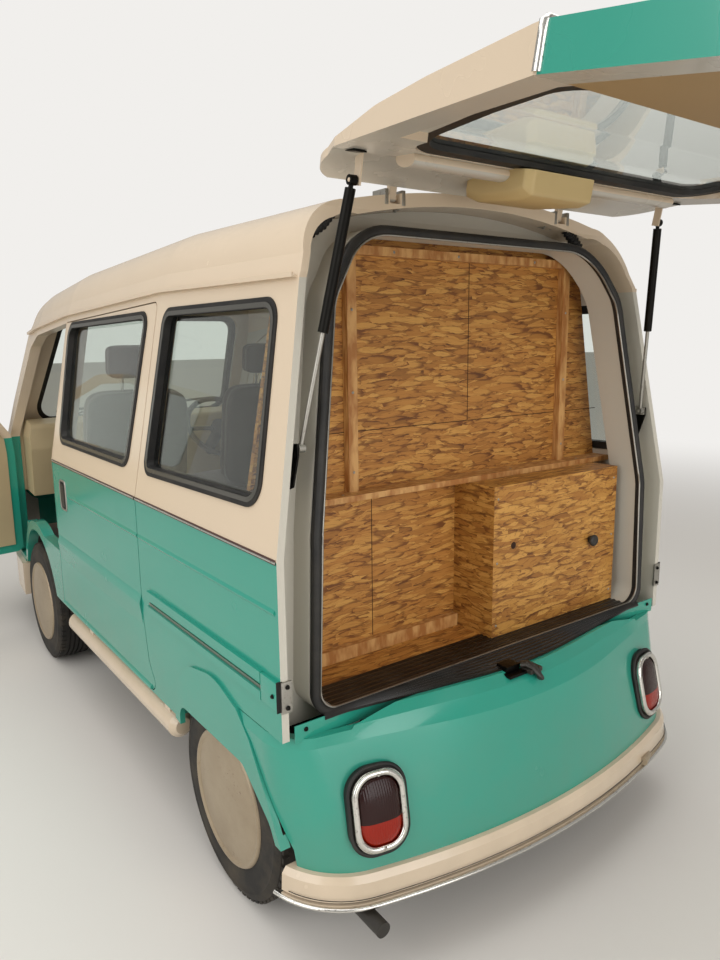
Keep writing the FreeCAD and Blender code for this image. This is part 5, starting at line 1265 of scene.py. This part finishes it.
class VAN_OT_stage(bpy.types.Operator):
    """Pale floor, soft studio light and the camera where the photograph was taken"""
    bl_idname = "van.stage"
    bl_label = "Stage"

    def execute(self, context):
        stage = context.scene.van_stage
        self.camera(context, stage)
        self.floor(context)
        self.lights(context, stage)
        context.scene.view_settings.view_transform = "Standard"
        return {"FINISHED"}

    def camera(self, context, stage):
        data = bpy.data.cameras.new("camera")
        data.sensor_fit = "AUTO"
        data.sensor_width = 36.0
        data.lens = stage.focal
        eye = bpy.data.objects.new("camera", data)
        context.scene.collection.objects.link(eye)
        ahead = Vector((math.cos(stage.pitch) * math.cos(stage.yaw),
                        -math.cos(stage.pitch) * math.sin(stage.yaw), math.sin(stage.pitch)))
        across = Vector((-math.sin(stage.yaw), -math.cos(stage.yaw), 0))
        up = across.cross(ahead)
        right = across * math.cos(stage.roll) + up * math.sin(stage.roll)
        top = up * math.cos(stage.roll) - across * math.sin(stage.roll)
        turn = Matrix((right, top, -ahead)).transposed().to_4x4()
        eye.matrix_world = Matrix.Translation(Vector(stage.camera_at)) @ turn
        context.scene.camera = eye

    # The floor takes the van's shadow, and farther off it fades to the backdrop's colour for the camera alone
    def floor(self, context):
        half, fade_from, fade_to = 60.0, 2.6, 9.0
        mesh = bpy.data.meshes.new("floor")
        mesh.from_pydata([(-half, -half, 0), (half, -half, 0), (half, half, 0), (-half, half, 0)], [],
                         [(0, 1, 2, 3)])
        obj = bpy.data.objects.new("floor", mesh)
        context.scene.collection.objects.link(obj)
        mat, tree = new_material("studio_floor")
        place = add(tree, "ShaderNodeTexCoord").outputs["Object"]
        far = add(tree, "ShaderNodeVectorMath", {0: place}, operation="LENGTH").outputs["Value"]
        far = add(tree, "ShaderNodeMapRange", {"Value": far, "From Min": fade_from, "From Max": fade_to},
                  interpolation_type="SMOOTHSTEP").outputs[0]
        seen = add(tree, "ShaderNodeLightPath").outputs["Is Camera Ray"]
        fade = add(tree, "ShaderNodeMath", {0: far, 1: seen}, operation="MULTIPLY")
        shader = add(tree, "ShaderNodeBsdfPrincipled", {"Base Color": linear("#DCD8D2"), "Roughness": 0.85})
        pale = add(tree, "ShaderNodeEmission", {"Color": linear(BACKDROP), "Strength": 1.0})
        mixed = add(tree, "ShaderNodeMixShader", {0: fade, 1: shader, 2: pale})
        add(tree, "ShaderNodeOutputMaterial", {"Surface": mixed})
        mesh.materials.append(mat)

    # Three soft panels, as (name, place, size, watts, what it aims at), and the world, which the camera and
    # light through glass see as the pale backdrop
    def lights(self, context, stage):
        for name, place, size, power, aim in (
                ("sky_panel", (-0.5, 0.5, 5.2), 6.0, 170, (0, 0, 0.8)),
                ("left_panel", (-1.5, 5.0, 2.8), 4.0, 115, (0, 0, 0.9)),
                ("rear_panel_light", (-6.0, 0.5, 2.0), 3.5, 110, (-1.2, 0, 0.9))):
            data = bpy.data.lights.new(name, "AREA")
            data.shape = "SQUARE"
            data.size = size
            data.energy = power
            lamp = bpy.data.objects.new(name, data)
            context.scene.collection.objects.link(lamp)
            lamp.location = place
            lamp.rotation_euler = (Vector(aim) - Vector(place)).to_track_quat("-Z", "Y").to_euler()
        world = bpy.data.worlds.new("studio")
        context.scene.world = world
        world.use_nodes = True
        tree = world.node_tree
        tree.nodes.clear()
        path = add(tree, "ShaderNodeLightPath")
        seen = add(tree, "ShaderNodeMath", {0: path.outputs["Is Camera Ray"],
                                            1: path.outputs["Is Transmission Ray"]}, operation="MAXIMUM")
        lit = add(tree, "ShaderNodeBackground", {"Color": linear("#FFFCF7"), "Strength": stage.light})
        pale = add(tree, "ShaderNodeBackground", {"Color": linear(BACKDROP), "Strength": 1.0})
        mixed = add(tree, "ShaderNodeMixShader", {0: seen, 1: lit, 2: pale})
        add(tree, "ShaderNodeOutputWorld", {"Surface": mixed})


class VAN_PT_panel(bpy.types.Panel):
    """Lists the van's pieces in the sidebar"""
    bl_idname = "VAN_PT_panel"
    bl_label = "Retro kei van"
    bl_space_type = "VIEW_3D"
    bl_region_type = "UI"
    bl_category = "Van"

    def draw(self, context):
        for operator in PIECES:
            self.layout.operator(operator.bl_idname)
        for group in (context.scene.van_paint, context.scene.van_trim, context.scene.van_stage):
            for name in group.bl_rna.properties.keys():
                if name not in ("rna_type", "name"):
                    self.layout.prop(group, name)


PIECES = [VAN_OT_finishes, VAN_OT_tyres, VAN_OT_wheel_trims, VAN_OT_belt, VAN_OT_window_edges,
          VAN_OT_slide_rails, VAN_OT_handles, VAN_OT_opening, VAN_OT_tail_lamps, VAN_OT_bumpers,
          VAN_OT_gate, VAN_OT_hinges, VAN_OT_boards, VAN_OT_seats, VAN_OT_front, VAN_OT_stage]
GROUPS = {"van_paint": VanPaint, "van_trim": VanTrim, "van_stage": VanStage}
CLASSES = list(GROUPS.values()) + PIECES + [VAN_PT_panel]


def register():
    for cls in CLASSES:
        bpy.utils.register_class(cls)
    for name, group in GROUPS.items():
        setattr(bpy.types.Scene, name, bpy.props.PointerProperty(type=group))


def unregister():
    for name in GROUPS:
        delattr(bpy.types.Scene, name)
    for cls in reversed(CLASSES):
        bpy.utils.unregister_class(cls)


def main():
    register()
    for operator in PIECES:
        group, name = operator.bl_idname.split(".")
        getattr(getattr(bpy.ops, group), name)()


if __name__ == "__main__":
    main()
